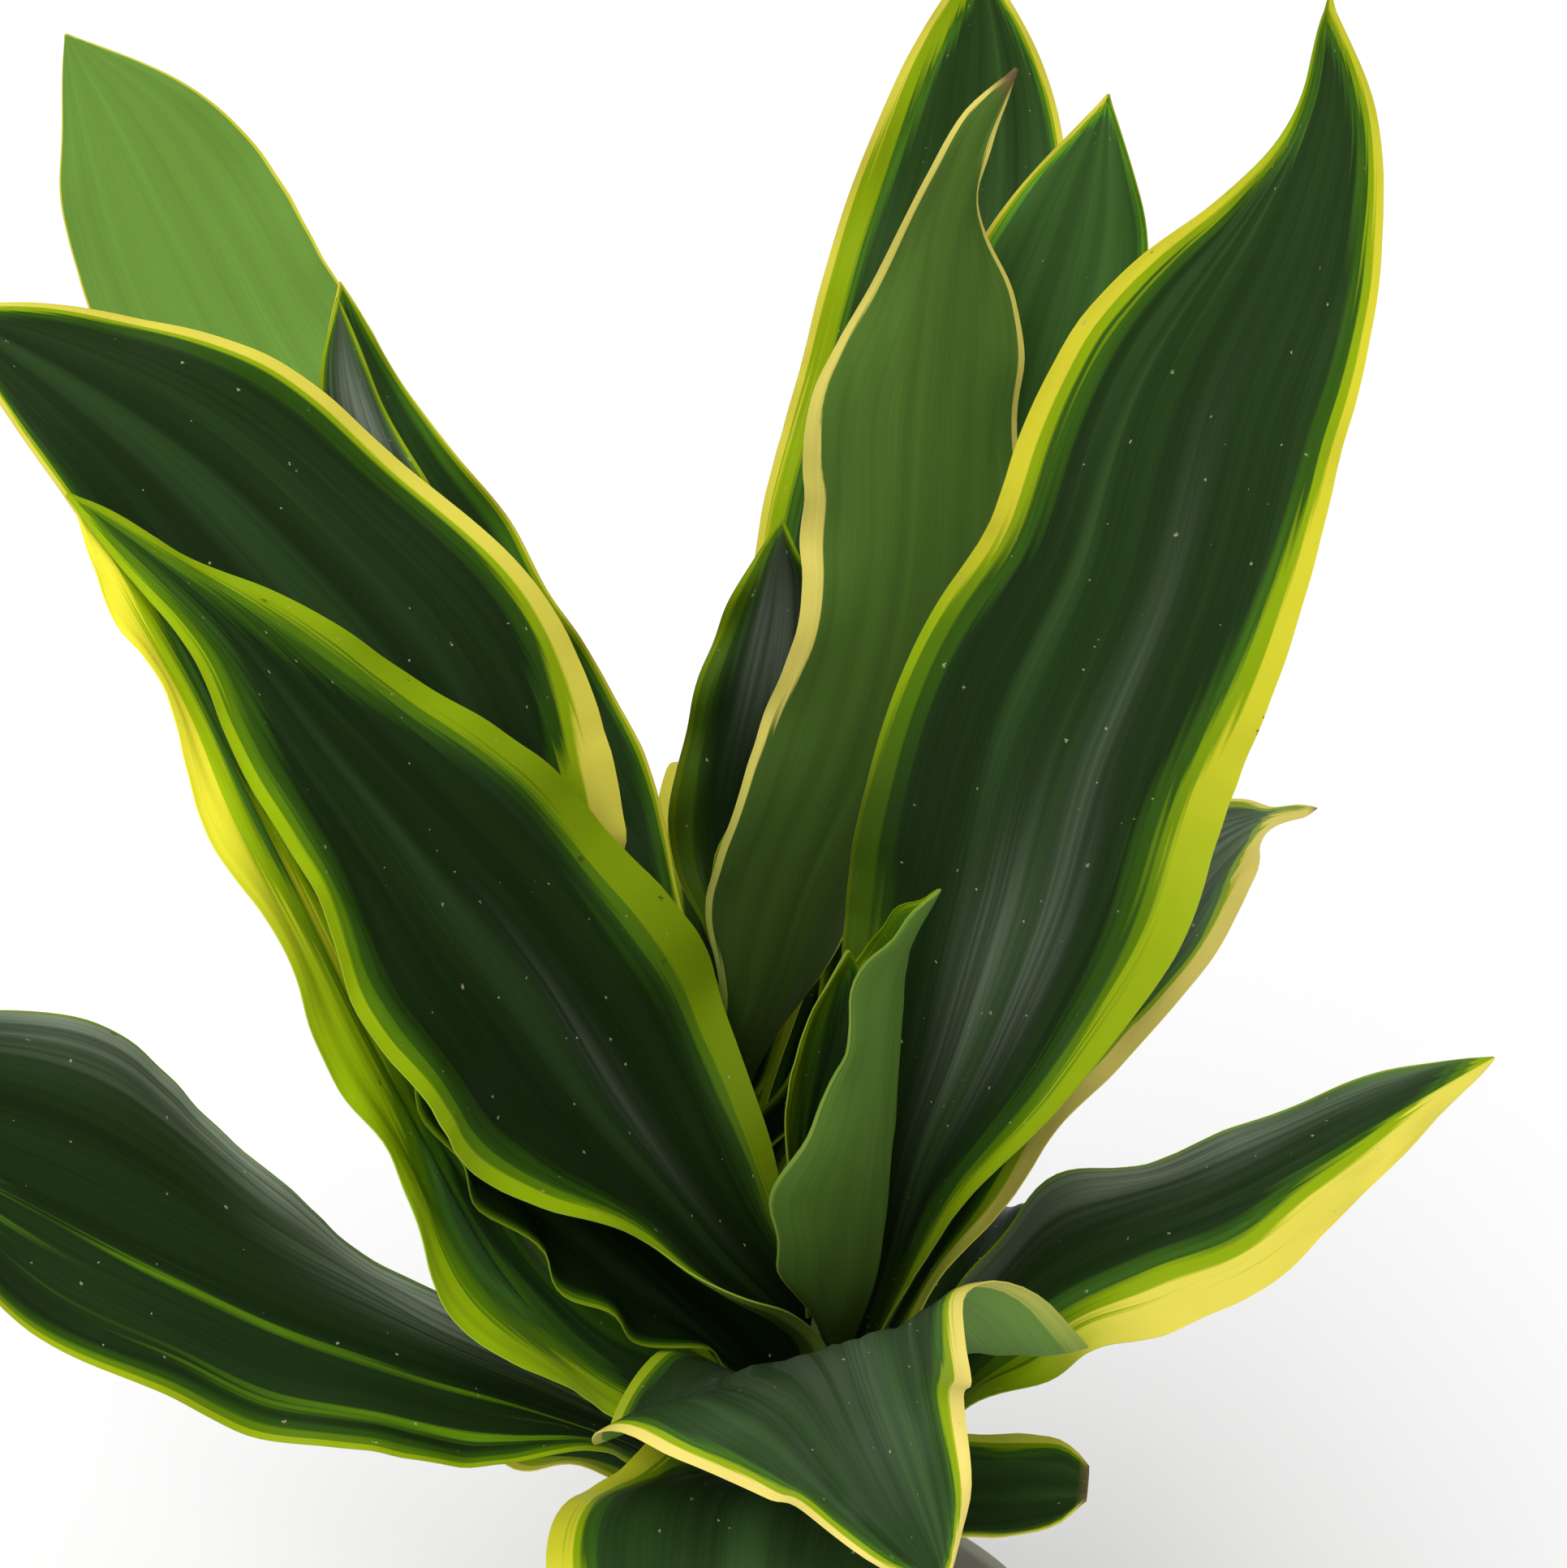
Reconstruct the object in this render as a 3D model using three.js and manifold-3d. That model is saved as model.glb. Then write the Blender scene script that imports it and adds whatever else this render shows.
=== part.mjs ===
// A potted gold coast dracaena: two woody canes in a plain pot, each with a crown of broad strap leaves.
// Millimetres, +Z up. The origin is the centre of the pot's underside.
// The leaves point left, right, back and forward of a viewer who looks along +Y.

import * as THREE from "three";
import { mergeVertices } from "three/addons/utils/BufferGeometryUtils.js";
import Module from "manifold-3d";

const wasm = await Module();
wasm.setup();

// Gap that neighbouring pieces keep
const GAP = 0.35;

// Pot
const POT_HEIGHT = 125;
const POT_FOOT_RADIUS = 48;
const POT_FOOT_CHAMFER = 1.5;
const POT_NECK_RADIUS = 65.2;
const POT_BAND_HEIGHT = 22;
const POT_BAND_RADIUS = 68.6;
const POT_RIM_RADIUS = 70;
const POT_RIM_ROUND = 0.8;
const POT_FLOOR = 4;
const POT_INNER_FOOT_RADIUS = 45.2;
const POT_INNER_RIM_RADIUS = 66.4;
const POT_SIDES = 64;
const DRAIN_HOLES = 5;
const DRAIN_RADIUS = 4.5;
const DRAIN_CIRCLE_RADIUS = 29;

// Soil, a little higher in the middle, with a plain hole for each cane
const SOIL_EDGE_HEIGHT = 112;
const SOIL_MIDDLE_HEIGHT = 116;
const CANE_FOOT_HEIGHT = 60;

// Canes: where each stands, and how high it reaches
const CANES = {
  front: { x: 8, y: -20, top: 262 },
  back: { x: -15, y: 36, top: 300 },
};
const CANE_RADIUS = 9.5;
const CANE_TIP_RADIUS = 3;
const CANE_TAPER_LENGTH = 70;
const CANE_TAPER_POWER = 0.8;
const CANE_SIDES = 24;
const CANE_STEPS = 12;

// Leaf blades
const SEAT_GAP = 0.55;
const BLADE_HALF_THICKNESS = 0.38;
const BASE_EXTRA_THICKNESS = 0.22;
const BASE_THICK_SHARE = 0.35;
const MIDRIB_EXTRA_THICKNESS = 0.1;
const ROW_LENGTH = 15;
const FEWEST_ROWS = 10;
const MOST_ROWS = 20;
const SEGMENTS_ACROSS = 4;
const TIP_SHARE = 0.012;
const MOST_CLASP = 95;

// What a leaf has unless its own line says otherwise.
// Angles are in degrees; roll and cup are given at even stations from the base to the tip.
const LEAF_DEFAULTS = {
  roll: [0, 0, 0, 0],
  cup: [30, 22, 18, 14],
  base: 0.36,
  peak: 0.48,
  fat: 2,
  sharp: 0.9,
  tip: TIP_SHARE,
  left: [0, 0],
  right: [0, 0],
  wave: 2.5,
  waves: 5,
  phase: [0, 2],
};

// Each leaf: its cane, the height and compass direction it leaves the cane at, its greatest width, and its
// midrib as points [outward, upward, sideways] from the cane's axis at that height.
// roll turns the blade about its midrib, cup bends its halves up, base is its width at the cane as a share of
// the greatest width, peak is where along it the greatest width lies, fat and sharp shape its outer end,
// left and right move one margin out by so many millimetres at even stations, seen from the cane to the tip
// on the upper face. wave is how far its margins wave, and waves is how many waves each margin has.
const LEAVES = [
  // The front crown, from its growing point downwards
  { name: "bud_front", cane: "front", height: 259, azimuth: 120, width: 26,
    route: [[6, 20], [7, 42], [6, 66, -2], [2, 93, -5]],
    cup: [80, 62, 44, 36], base: 0.3, peak: 0.6, tip: 0.03, wave: 0 },
  { name: "leaf_front_young", cane: "front", height: 256, azimuth: -28, width: 56,
    route: [[10, 20], [12, 48], [13, 80], [15, 100], [23, 120]],
    left: [0, 0, 0, 0, -3, 2, 6, 5, 0, -2, 0], right: [0, 5, 8, 5, 0, -8, -14, -13, -9, -4, 0],
    cup: [84, 84, 74, 50], base: 0.25, peak: 0.5, wave: 1 },
  { name: "leaf_front_01", cane: "front", height: 252, azimuth: 167, width: 82,
    route: [[6, 3], [24, 24], [48, 54, -2], [65, 82, -4], [87, 115, -2], [104, 139], [121, 161],
      [137, 175], [154, 187]],
    left: [0, 8, -4, 1, 12, 12, 1, -4, -5, -3, 0], right: [0, 0, -2, 0, -3, -1, -3, -4, -6, -6, 0],
    roll: [0, -15, -20, -36, -38], cup: [36, 32, 18, 14], base: 0.3, peak: 0.35, fat: 1.5 },
  { name: "leaf_front_02", cane: "front", height: 243, azimuth: 36, width: 78,
    route: [[10, 6], [16, 21], [24, 47], [37, 73], [48, 102], [58, 138], [75, 171], [86, 210],
      [104, 239], [116, 265], [117, 284]],
    left: [0, 0, 0, 0, -1, -1, -3, -2, -5, -10, 0], right: [0, 0, -2, -4, -3, -2, -3, 2, 4, 3, 0],
    roll: [0, 22, 48, 55, 60, 30], cup: [34, 18, 16, 14], base: 0.22, peak: 0.42, fat: 2.6, sharp: 1,
    wave: 2 },
  { name: "leaf_front_03", cane: "front", height: 237, azimuth: 179, width: 38,
    route: [[15, 5, -1], [32, 25, -2], [53, 48, -2], [69, 69, 3], [79, 85, 8], [84, 98, 10]],
    left: [0, 0, -2, 2, 6, 5, 2, 0, 0, 0, 0], right: [0, 8, 7, 1, 0, 0, 0, 0, 0, 0, 0],
    roll: [0, -6, -15, -28], base: 0.55 },
  { name: "leaf_front_04", cane: "front", height: 233, azimuth: -78, width: 86,
    route: [[22, 29, -2], [40, 54, -7], [60, 69, -11], [78, 69, -11], [92, 60, -7], [101, 48, -1]],
    left: [0, 8, 20, 20, 5, -13, -18, -16, -10, -4, 0],
    right: [0, 8, 15, 14, 10, 9, 0, -8, -8, -5, 0],
    roll: [0, 2, -4, 6, 14, 12, 4], cup: [20, -16, -32, -20], base: 0.2, peak: 0.5, wave: 8, waves: 2.6,
    phase: [0, 5] },
  { name: "leaf_front_05", cane: "front", height: 230, azimuth: 45, width: 46,
    route: [[17, 16], [46, 49], [74, 73], [104, 87], [126, 94], [146, 94], [168, 88]],
    left: [0, 0, 0, 0, 0, 0, 0, -1, -4, -6, 0], right: [0, 0, -2, -4, -7, -5, -3, -2, -4, -6, 0],
    roll: [0, 10, 30, 30, 60], base: 0.25 },
  { name: "leaf_front_06", cane: "front", height: 226, azimuth: 188, width: 54,
    route: [[24, 9, 4], [50, 27, 3], [70, 57, 2], [83, 87, -2], [94, 113, -8], [104, 138, -17],
      [114, 160, -28], [123, 180, -38], [133, 197, -48], [143, 211, -57]],
    left: [0, 0, -3, -2, -7, -13, -11, -6, -5, 0, 0],
    right: [0, 12, 4, -6, -12, -16, -16, -13, -5, 0, 0],
    roll: [0, -22, -28, -36], cup: [26, 12, 14, 14], base: 0.2, peak: 0.42 },
  { name: "leaf_front_07", cane: "front", height: 216, azimuth: 195, width: 64,
    route: [[23, 3], [51, 26], [68, 40], [91, 58], [114, 76], [136, 96], [159, 116], [181, 132],
      [197, 140]],
    left: [0, 0, -3, -1, 0, -2, -3, -1, 0, 0, 0], right: [0, 0, -1, -6, -11, -10, -9, 1, 8, 9, 4],
    roll: [0, -15, -40, -50], cup: [10, -15, -20, -10], base: 0.18, peak: 0.6 },
  { name: "leaf_front_08", cane: "front", height: 214, azimuth: 12, width: 41,
    route: [[24, 15], [38, 34], [53, 47], [69, 54], [87, 60], [105, 69], [128, 82], [148, 93]],
    left: [0, 0, 0, 2, 5, 0, -2, -2, -1, 0, 0], right: [0, 0, 0, 1, 0, -1, 0, -3, -3, -3, 0],
    roll: [0, 15, 35, 40], cup: [10, -15, -20, -10], base: 0.3 },
  { name: "leaf_front_09", cane: "front", height: 202, azimuth: -10, width: 36,
    route: [[20, 8], [38, 12], [58, 16]],
    left: [0, 0, 0, 0, 0, 0, 0, 1, 3, 5.5, 8], right: [0, 0, 0, -1, -2, -2.5, -2.5, -2, -1, 0, 1],
    base: 0.3, fat: 3, tip: 0.03, wave: 0 },
  { name: "leaf_front_10", cane: "front", height: 200, azimuth: -99, width: 78,
    route: [[22, 20, -2], [42, 50, -6], [60, 61, -10], [78, 57, -9], [91, 41, -7], [98, 17, -5]],
    left: [0, 0, -6, -6, 0, 4, 6, 5, 3, 0, 0], right: [0, 0, 5, 3, -4, -4, -2, 0, 0, 0, 0],
    roll: [0, -2, -2, 0], cup: [26, 4, -8, 0], base: 0.16, peak: 0.52, wave: 5, waves: 2.6, phase: [0, 3] },
  { name: "leaf_front_11", cane: "front", height: 193, azimuth: 70, width: 56,
    route: [[30, 14], [66, 26], [104, 20], [136, -4]], base: 0.3, wave: 3, waves: 4 },
  { name: "leaf_front_12", cane: "front", height: 196, azimuth: 150, width: 46,
    route: [[28, 6], [60, 6], [92, -2], [108, -14]], base: 0.3, wave: 3, waves: 3 },
  { name: "leaf_front_13", cane: "front", height: 190, azimuth: -48, width: 54,
    route: [[26, 2], [52, -6], [82, -28], [102, -62]], base: 0.3, wave: 3, waves: 3 },
  { name: "leaf_front_14", cane: "front", height: 188, azimuth: -138, width: 56,
    route: [[28, 4], [58, 2], [90, -16], [116, -46]], base: 0.3, wave: 3, waves: 3 },

  // The back crown, from its growing point downwards
  { name: "bud_back", cane: "back", height: 298, azimuth: 60, width: 16,
    route: [[7, 16], [8, 34], [11, 54]],
    cup: [80, 70, 50, 40], base: 0.4, wave: 0 },
  { name: "leaf_back_01", cane: "back", height: 290, azimuth: 95, width: 35,
    route: [[12, 7, -5], [23, 16, -5], [35, 29, -4], [42, 46, -7], [48, 66, -12], [53, 85, -16],
      [56, 107, -18]],
    left: [0, 0, 0, 0, 0, -2, -2, -1, 0, 0, 0],
    roll: [0, -6, -20, -20], base: 0.14, peak: 0.52 },
  { name: "leaf_back_02", cane: "back", height: 284, azimuth: -75, width: 62,
    route: [[11, 10, 1], [12, 29, 8], [10, 55, 17], [5, 82, 31], [-2, 115, 42], [-10, 159, 47],
      [-14, 192, 52], [-16, 210, 59], [-18, 223, 67]],
    left: [0, 0, 0, 0, 0, 0, 0, 0, 1, -6, 0], right: [0, 0, 3, 1, -5, -6, -4, 2, -5, -2, 0],
    cup: [24, 16, 14, 14], base: 0.25, fat: 1.7 },
  { name: "leaf_back_03", cane: "back", height: 286, azimuth: 133, width: 70,
    route: [[12, 12, -4], [28, 27, -3], [56, 44, -1], [96, 61], [135, 86], [174, 114], [202, 142],
      [224, 168], [242, 188]],
    left: [0, 0, 0, 0, 0, 0, -1, -1, 3, 6, 0],
    roll: [0, 0, 40, 110, 130, 130], base: 0.12, peak: 0.65 },
  { name: "leaf_back_04", cane: "back", height: 273, azimuth: 70, width: 66,
    route: [[15, 2], [35, 33], [63, 69], [98, 104], [136, 133], [162, 166], [172, 198], [176, 224]],
    left: [0, 0, 0, 0, -4, -5, -5, -3, -1, 0, 0], right: [0, 0, 0, 0, 0, 0, 0, 0, 2, 3, 0],
    roll: [0, 5, 18, 18], base: 0.2, peak: 0.58, fat: 2.4 },
  { name: "leaf_back_05", cane: "back", height: 270, azimuth: 147, width: 38,
    route: [[12, 16, 1], [20, 53, 4], [50, 75, -5], [78, 119], [93, 154], [98, 185]],
    right: [0, 0, 0, 2, 4, 4, 3, 5, 2, 0, 0],
    roll: [0, -26, -44, -40], base: 0.12, peak: 0.55 },
  { name: "leaf_back_06", cane: "back", height: 261, azimuth: 32, width: 48,
    route: [[24, 11], [44, 62], [62, 108], [74, 152], [82, 181], [90, 208], [95, 236]],
    left: [0, 0, 0, 0, 0, 0, 2, 4, 6, 6, 0], right: [0, 0, 0, 0, 0, 0, 1, 2, 3, 3, 0],
    roll: [0, 20, 45, 45], base: 0.24, peak: 0.55 },
  { name: "leaf_back_07", cane: "back", height: 257, azimuth: 165, width: 28,
    route: [[20, 11, -2], [36, 48, 4], [50, 99, 14], [64, 140, 8], [75, 173, 5], [79, 192, 3],
      [80, 207, 1]],
    roll: [0, -42, -50, -45], base: 0.18, peak: 0.62 },
  { name: "leaf_back_08", cane: "back", height: 250, azimuth: 84, width: 56,
    route: [[26, 20], [58, 42], [96, 50], [136, 40], [166, 12]], base: 0.22, wave: 3, waves: 4 },
  { name: "leaf_back_09", cane: "back", height: 247, azimuth: 176, width: 75,
    route: [[20, 20, 6], [37, 51, 15], [47, 81, 21], [52, 114, 21], [65, 143, 15], [87, 169, 10],
      [108, 189, 6], [130, 205, 4], [155, 219, 2]],
    right: [0, 0, 0, 1, 2, 0, -3, -3, 0, 0, 0],
    roll: [0, -40, -60, -60], base: 0.13, peak: 0.55 },
  { name: "leaf_back_10", cane: "back", height: 243, azimuth: 56, width: 54,
    route: [[24, 14], [56, 34], [94, 42], [132, 32], [160, 4]], base: 0.22, wave: 3, waves: 4 },
  { name: "leaf_back_11", cane: "back", height: 238, azimuth: 177, width: 32,
    route: [[21, 13], [46, 44], [68, 76], [83, 99], [95, 122], [105, 144], [111, 165], [117, 186],
      [121, 205]],
    roll: [0, -15, -40, -50], base: 0.3 },
  { name: "leaf_back_12", cane: "back", height: 240, azimuth: 124, width: 60,
    route: [[28, 20], [62, 42], [102, 52], [142, 40], [172, 8]], base: 0.26, wave: 3, waves: 4 },
  { name: "leaf_back_13", cane: "back", height: 226, azimuth: 76, width: 56,
    route: [[28, 8], [64, 16], [104, 8], [140, -20], [158, -54]], base: 0.28, wave: 3, waves: 4 },
  { name: "leaf_back_14", cane: "back", height: 222, azimuth: 146, width: 52,
    route: [[26, 8], [50, 6], [70, -10], [78, -34]], base: 0.28, wave: 3, waves: 3 },
];

// Colours, one for each kind of piece
const MATERIALS = {
  pot: new THREE.MeshStandardMaterial({ color: 0xb9b2a6, roughness: 0.6, metalness: 0 }),
  soil: new THREE.MeshStandardMaterial({ color: 0x3a2a1e, roughness: 1, metalness: 0 }),
  cane: new THREE.MeshStandardMaterial({ color: 0x8a7355, roughness: 0.9, metalness: 0 }),
  leaf: new THREE.MeshStandardMaterial({ color: 0x2f4a1c, roughness: 0.45, metalness: 0 }),
};

// Small sums

function clamp(value, low, high) {
  return Math.min(Math.max(value, low), high);
}

function smooth(value) {
  const x = clamp(value, 0, 1);
  return x * x * (3 - 2 * x);
}

function radians(degrees) {
  return (degrees * Math.PI) / 180;
}

// The value at a share of the way along evenly spaced stations, eased between them.
function along(values, share) {
  const place = share * (values.length - 1);
  const first = Math.min(Math.floor(place), values.length - 2);
  const f = place - first;
  const a = values[Math.max(first - 1, 0)];
  const b = values[first];
  const c = values[first + 1];
  const d = values[Math.min(first + 2, values.length - 1)];
  const bend = 2 * a - 5 * b + 4 * c - d + f * (3 * (b - c) + d - a);
  return b + 0.5 * f * (c - a + f * bend);
}

// Solids

// A closed body turned about the upright axis from a profile of [radius, height] points.
function turned(profile, sides) {
  const points = profile.map(([radius, height]) => new THREE.Vector2(radius, height));
  const geometry = new THREE.LatheGeometry(points, sides);
  geometry.rotateX(Math.PI / 2);
  return geometry;
}

function solidOf(geometry) {
  const bare = geometry.clone();
  bare.deleteAttribute("normal");
  bare.deleteAttribute("uv");
  const merged = mergeVertices(bare, 1e-4);
  const corners = merged.index.array;
  const kept = [];
  for (let i = 0; i < corners.length; i += 3) {
    const [a, b, c] = [corners[i], corners[i + 1], corners[i + 2]];
    if (a !== b && b !== c && c !== a) kept.push(a, b, c);
  }
  return new wasm.Manifold(new wasm.Mesh({
    numProp: 3,
    vertProperties: merged.attributes.position.array,
    triVerts: new Uint32Array(kept),
  }));
}

function geometryOf(solid) {
  const mesh = solid.getMesh();
  const geometry = new THREE.BufferGeometry();
  geometry.setAttribute("position", new THREE.BufferAttribute(new Float32Array(mesh.vertProperties), 3));
  geometry.setIndex(new THREE.BufferAttribute(new Uint32Array(mesh.triVerts), 1));
  geometry.computeVertexNormals();
  return geometry;
}

function uprightRod(x, y, low, high, radius, sides) {
  const rod = turned([[0, low], [radius, low], [radius, high], [0, high]], sides);
  return solidOf(rod).translate(x, y, 0);
}

// Pot and soil

// Radius of the pot's inner wall at a height.
function innerRadius(height) {
  const share = (height - POT_FLOOR) / (POT_HEIGHT - POT_FLOOR);
  return POT_INNER_FOOT_RADIUS + (POT_INNER_RIM_RADIUS - POT_INNER_FOOT_RADIUS) * share;
}

function makePot() {
  const band = POT_HEIGHT - POT_BAND_HEIGHT;
  let pot = solidOf(turned([
    [0, 0],
    [POT_FOOT_RADIUS - POT_FOOT_CHAMFER, 0],
    [POT_FOOT_RADIUS, POT_FOOT_CHAMFER],
    [POT_NECK_RADIUS, band],
    [POT_BAND_RADIUS, band],
    [POT_RIM_RADIUS, POT_HEIGHT - POT_RIM_ROUND],
    [POT_RIM_RADIUS - POT_RIM_ROUND, POT_HEIGHT],
    [POT_INNER_RIM_RADIUS + POT_RIM_ROUND, POT_HEIGHT],
    [innerRadius(POT_HEIGHT - POT_RIM_ROUND), POT_HEIGHT - POT_RIM_ROUND],
    [POT_INNER_FOOT_RADIUS, POT_FLOOR],
    [0, POT_FLOOR],
  ], POT_SIDES));
  for (let i = 0; i < DRAIN_HOLES; i += 1) {
    const angle = (2 * Math.PI * i) / DRAIN_HOLES;
    const x = DRAIN_CIRCLE_RADIUS * Math.cos(angle);
    const y = DRAIN_CIRCLE_RADIUS * Math.sin(angle);
    pot = pot.subtract(uprightRod(x, y, -1, POT_FLOOR + 1, DRAIN_RADIUS, CANE_SIDES));
  }
  return geometryOf(pot);
}

function makeSoil() {
  const low = POT_FLOOR + GAP;
  let soil = solidOf(turned([
    [0, low],
    [innerRadius(low) - GAP, low],
    [innerRadius(SOIL_EDGE_HEIGHT) - GAP, SOIL_EDGE_HEIGHT],
    [innerRadius(SOIL_EDGE_HEIGHT) * 0.7, SOIL_MIDDLE_HEIGHT - 1],
    [0, SOIL_MIDDLE_HEIGHT],
  ], POT_SIDES));
  for (const cane of Object.values(CANES)) {
    const radius = CANE_RADIUS + GAP;
    const floor = CANE_FOOT_HEIGHT - GAP;
    soil = soil.subtract(uprightRod(cane.x, cane.y, floor, POT_HEIGHT, radius, CANE_SIDES));
  }
  return geometryOf(soil);
}

// Canes

function caneRadius(cane, height) {
  const share = clamp((cane.top - height) / CANE_TAPER_LENGTH, 0, 1);
  return CANE_TIP_RADIUS + (CANE_RADIUS - CANE_TIP_RADIUS) * share ** CANE_TAPER_POWER;
}

function makeCane(cane) {
  const profile = [[0, CANE_FOOT_HEIGHT], [CANE_RADIUS, CANE_FOOT_HEIGHT]];
  const taperFoot = cane.top - CANE_TAPER_LENGTH;
  for (let i = 0; i <= CANE_STEPS; i += 1) {
    const height = taperFoot + (CANE_TAPER_LENGTH * i) / CANE_STEPS;
    profile.push([caneRadius(cane, height), height]);
  }
  profile.push([0, cane.top]);
  const geometry = turned(profile, CANE_SIDES);
  geometry.translate(cane.x, cane.y, 0);
  return geometry;
}

// Leaves

// Even steps along a smooth curve through the points, and the curve's length.
function evenSteps(points, steps) {
  const curve = new THREE.CatmullRomCurve3(points, false, "centripetal");
  curve.arcLengthDivisions = 40 * points.length;
  return { middle: curve.getSpacedPoints(steps), length: curve.getLength() };
}

// Share of the leaf's greatest width that it has at a share of its length.
function widthShare(leaf, share) {
  if (share < leaf.peak) return leaf.base + (1 - leaf.base) * smooth(share / leaf.peak);
  const past = (share - leaf.peak) / (1 - leaf.peak);
  return Math.max((1 - past ** leaf.fat) ** leaf.sharp, leaf.tip);
}

// How far one margin is from the midrib, measured along the blade.
function marginReach(leaf, share, moved) {
  const half = leaf.width / 2;
  return Math.max(half * widthShare(leaf, share) + along(moved, share), half * leaf.tip);
}

// How far from the cane's axis the midrib starts: a blade that leaves upright needs room for its thickness.
function seatRadius(leaf) {
  const radius = caneRadius(CANES[leaf.cane], leaf.height);
  const [out, up] = leaf.route[0];
  const upright = Math.abs(up) / Math.hypot(out - radius, up);
  return radius + SEAT_GAP + halfThickness(0, 0) * upright;
}

// The midrib's points in space, from the cane's surface outwards.
function midribPoints(leaf) {
  const cane = CANES[leaf.cane];
  const angle = radians(leaf.azimuth);
  const outward = new THREE.Vector3(Math.cos(angle), Math.sin(angle), 0);
  const sideways = new THREE.Vector3(-Math.sin(angle), Math.cos(angle), 0);
  const seat = seatRadius(leaf);
  const points = [[seat, 0], ...leaf.route].map(([out, up, side = 0]) =>
    new THREE.Vector3(cane.x, cane.y, leaf.height + up)
      .addScaledVector(outward, out)
      .addScaledVector(sideways, side));
  return { points, sideways, seat };
}

// The direction of the midrib at each of its steps.
function directions(middle) {
  return middle.map((point, i) => {
    const before = middle[Math.max(i - 1, 0)];
    const after = middle[Math.min(i + 1, middle.length - 1)];
    return new THREE.Vector3().subVectors(after, before).normalize();
  });
}

// The blade's middle surface as rows of points from the base to the tip.
function bladeRows(leaf, rows, columns) {
  const { points, sideways, seat } = midribPoints(leaf);
  const { middle } = evenSteps(points, rows);
  const ways = directions(middle);
  const half = leaf.width / 2;
  const clasp = Math.min(((half * leaf.base) / seat) * (180 / Math.PI), MOST_CLASP);
  const across = sideways.clone();
  return middle.map((centre, row) => {
    const share = row / rows;
    const way = ways[row];
    across.addScaledVector(way, -across.dot(way)).normalize();
    const roll = radians(along(leaf.roll, share));
    const upper = new THREE.Vector3().crossVectors(way, across);
    const side = across.clone().multiplyScalar(Math.cos(roll)).addScaledVector(upper, Math.sin(roll));
    const face = new THREE.Vector3().crossVectors(way, side);
    const bend = radians(along([clasp, ...leaf.cup], share)) || 1e-3;
    const leftRadius = marginReach(leaf, share, leaf.left) / bend;
    const rightRadius = marginReach(leaf, share, leaf.right) / bend;
    const waving = leaf.wave * smooth(share / 0.25) * smooth((1 - share) / 0.12);
    const line = [];
    for (let column = 0; column <= columns; column += 1) {
      const u = -1 + (2 * column) / columns;
      const radius = u > 0 ? leftRadius : rightRadius;
      const turn = 2 * Math.PI * leaf.waves * share + leaf.phase[u > 0 ? 0 : 1];
      const lift = waving * smooth((Math.abs(u) - 0.35) / 0.65) * Math.sin(turn);
      line.push(centre.clone()
        .addScaledVector(side, radius * Math.sin(bend * u))
        .addScaledVector(face, radius * (1 - Math.cos(bend * u)) + lift));
    }
    return line;
  });
}

// The unit direction out of the blade's lower face at a point of its middle surface.
function lowerWay(lines, row, column) {
  const last = lines.length - 1;
  const end = lines[0].length - 1;
  const along1 = lines[Math.max(row - 1, 0)][column];
  const along2 = lines[Math.min(row + 1, last)][column];
  const across1 = lines[row][Math.max(column - 1, 0)];
  const across2 = lines[row][Math.min(column + 1, end)];
  const lengthwise = new THREE.Vector3().subVectors(along2, along1);
  const crosswise = new THREE.Vector3().subVectors(across2, across1);
  return crosswise.cross(lengthwise).normalize();
}

function halfThickness(share, u) {
  const thickened = clamp(1 - share / BASE_THICK_SHARE, 0, 1);
  return BLADE_HALF_THICKNESS + BASE_EXTRA_THICKNESS * thickened + MIDRIB_EXTRA_THICKNESS * (1 - u);
}

// The closed blade: an upper face, a lower face split along the same lines, and a rim between them.
function makeLeaf(leaf) {
  const { length } = evenSteps(midribPoints(leaf).points, MOST_ROWS);
  const rows = clamp(Math.round(length / ROW_LENGTH), FEWEST_ROWS, MOST_ROWS);
  const columns = SEGMENTS_ACROSS;
  const lines = bladeRows(leaf, rows, columns);
  const upper = [];
  const lower = [];
  lines.forEach((line, row) => line.forEach((point, column) => {
    const u = Math.abs(-1 + (2 * column) / columns);
    const shift = lowerWay(lines, row, column).multiplyScalar(halfThickness(row / rows, u));
    upper.push(...point.clone().sub(shift).toArray());
    lower.push(...point.clone().add(shift).toArray());
  }));
  const width = columns + 1;
  const under = lines.length * width;
  const corners = [];
  for (let row = 0; row < rows; row += 1) {
    for (let column = 0; column < columns; column += 1) {
      const a = row * width + column;
      const b = a + 1;
      const c = b + width;
      const d = a + width;
      corners.push(a, d, b, b, d, c);
      corners.push(a + under, b + under, d + under, b + under, c + under, d + under);
    }
  }
  const rim = [];
  for (let column = 0; column < columns; column += 1) rim.push(column);
  for (let row = 0; row < rows; row += 1) rim.push(row * width + columns);
  for (let column = columns; column > 0; column -= 1) rim.push(rows * width + column);
  for (let row = rows; row > 0; row -= 1) rim.push(row * width);
  rim.forEach((a, i) => {
    const b = rim[(i + 1) % rim.length];
    corners.push(a, b, b + under, a, b + under, a + under);
  });
  const geometry = new THREE.BufferGeometry();
  geometry.setAttribute("position", new THREE.BufferAttribute(new Float32Array([...upper, ...lower]), 3));
  geometry.setIndex(corners);
  geometry.computeVertexNormals();
  return geometry;
}

// The plant

function add(group, name, geometry, material) {
  const mesh = new THREE.Mesh(geometry, material);
  mesh.name = name;
  group.add(mesh);
}

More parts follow.
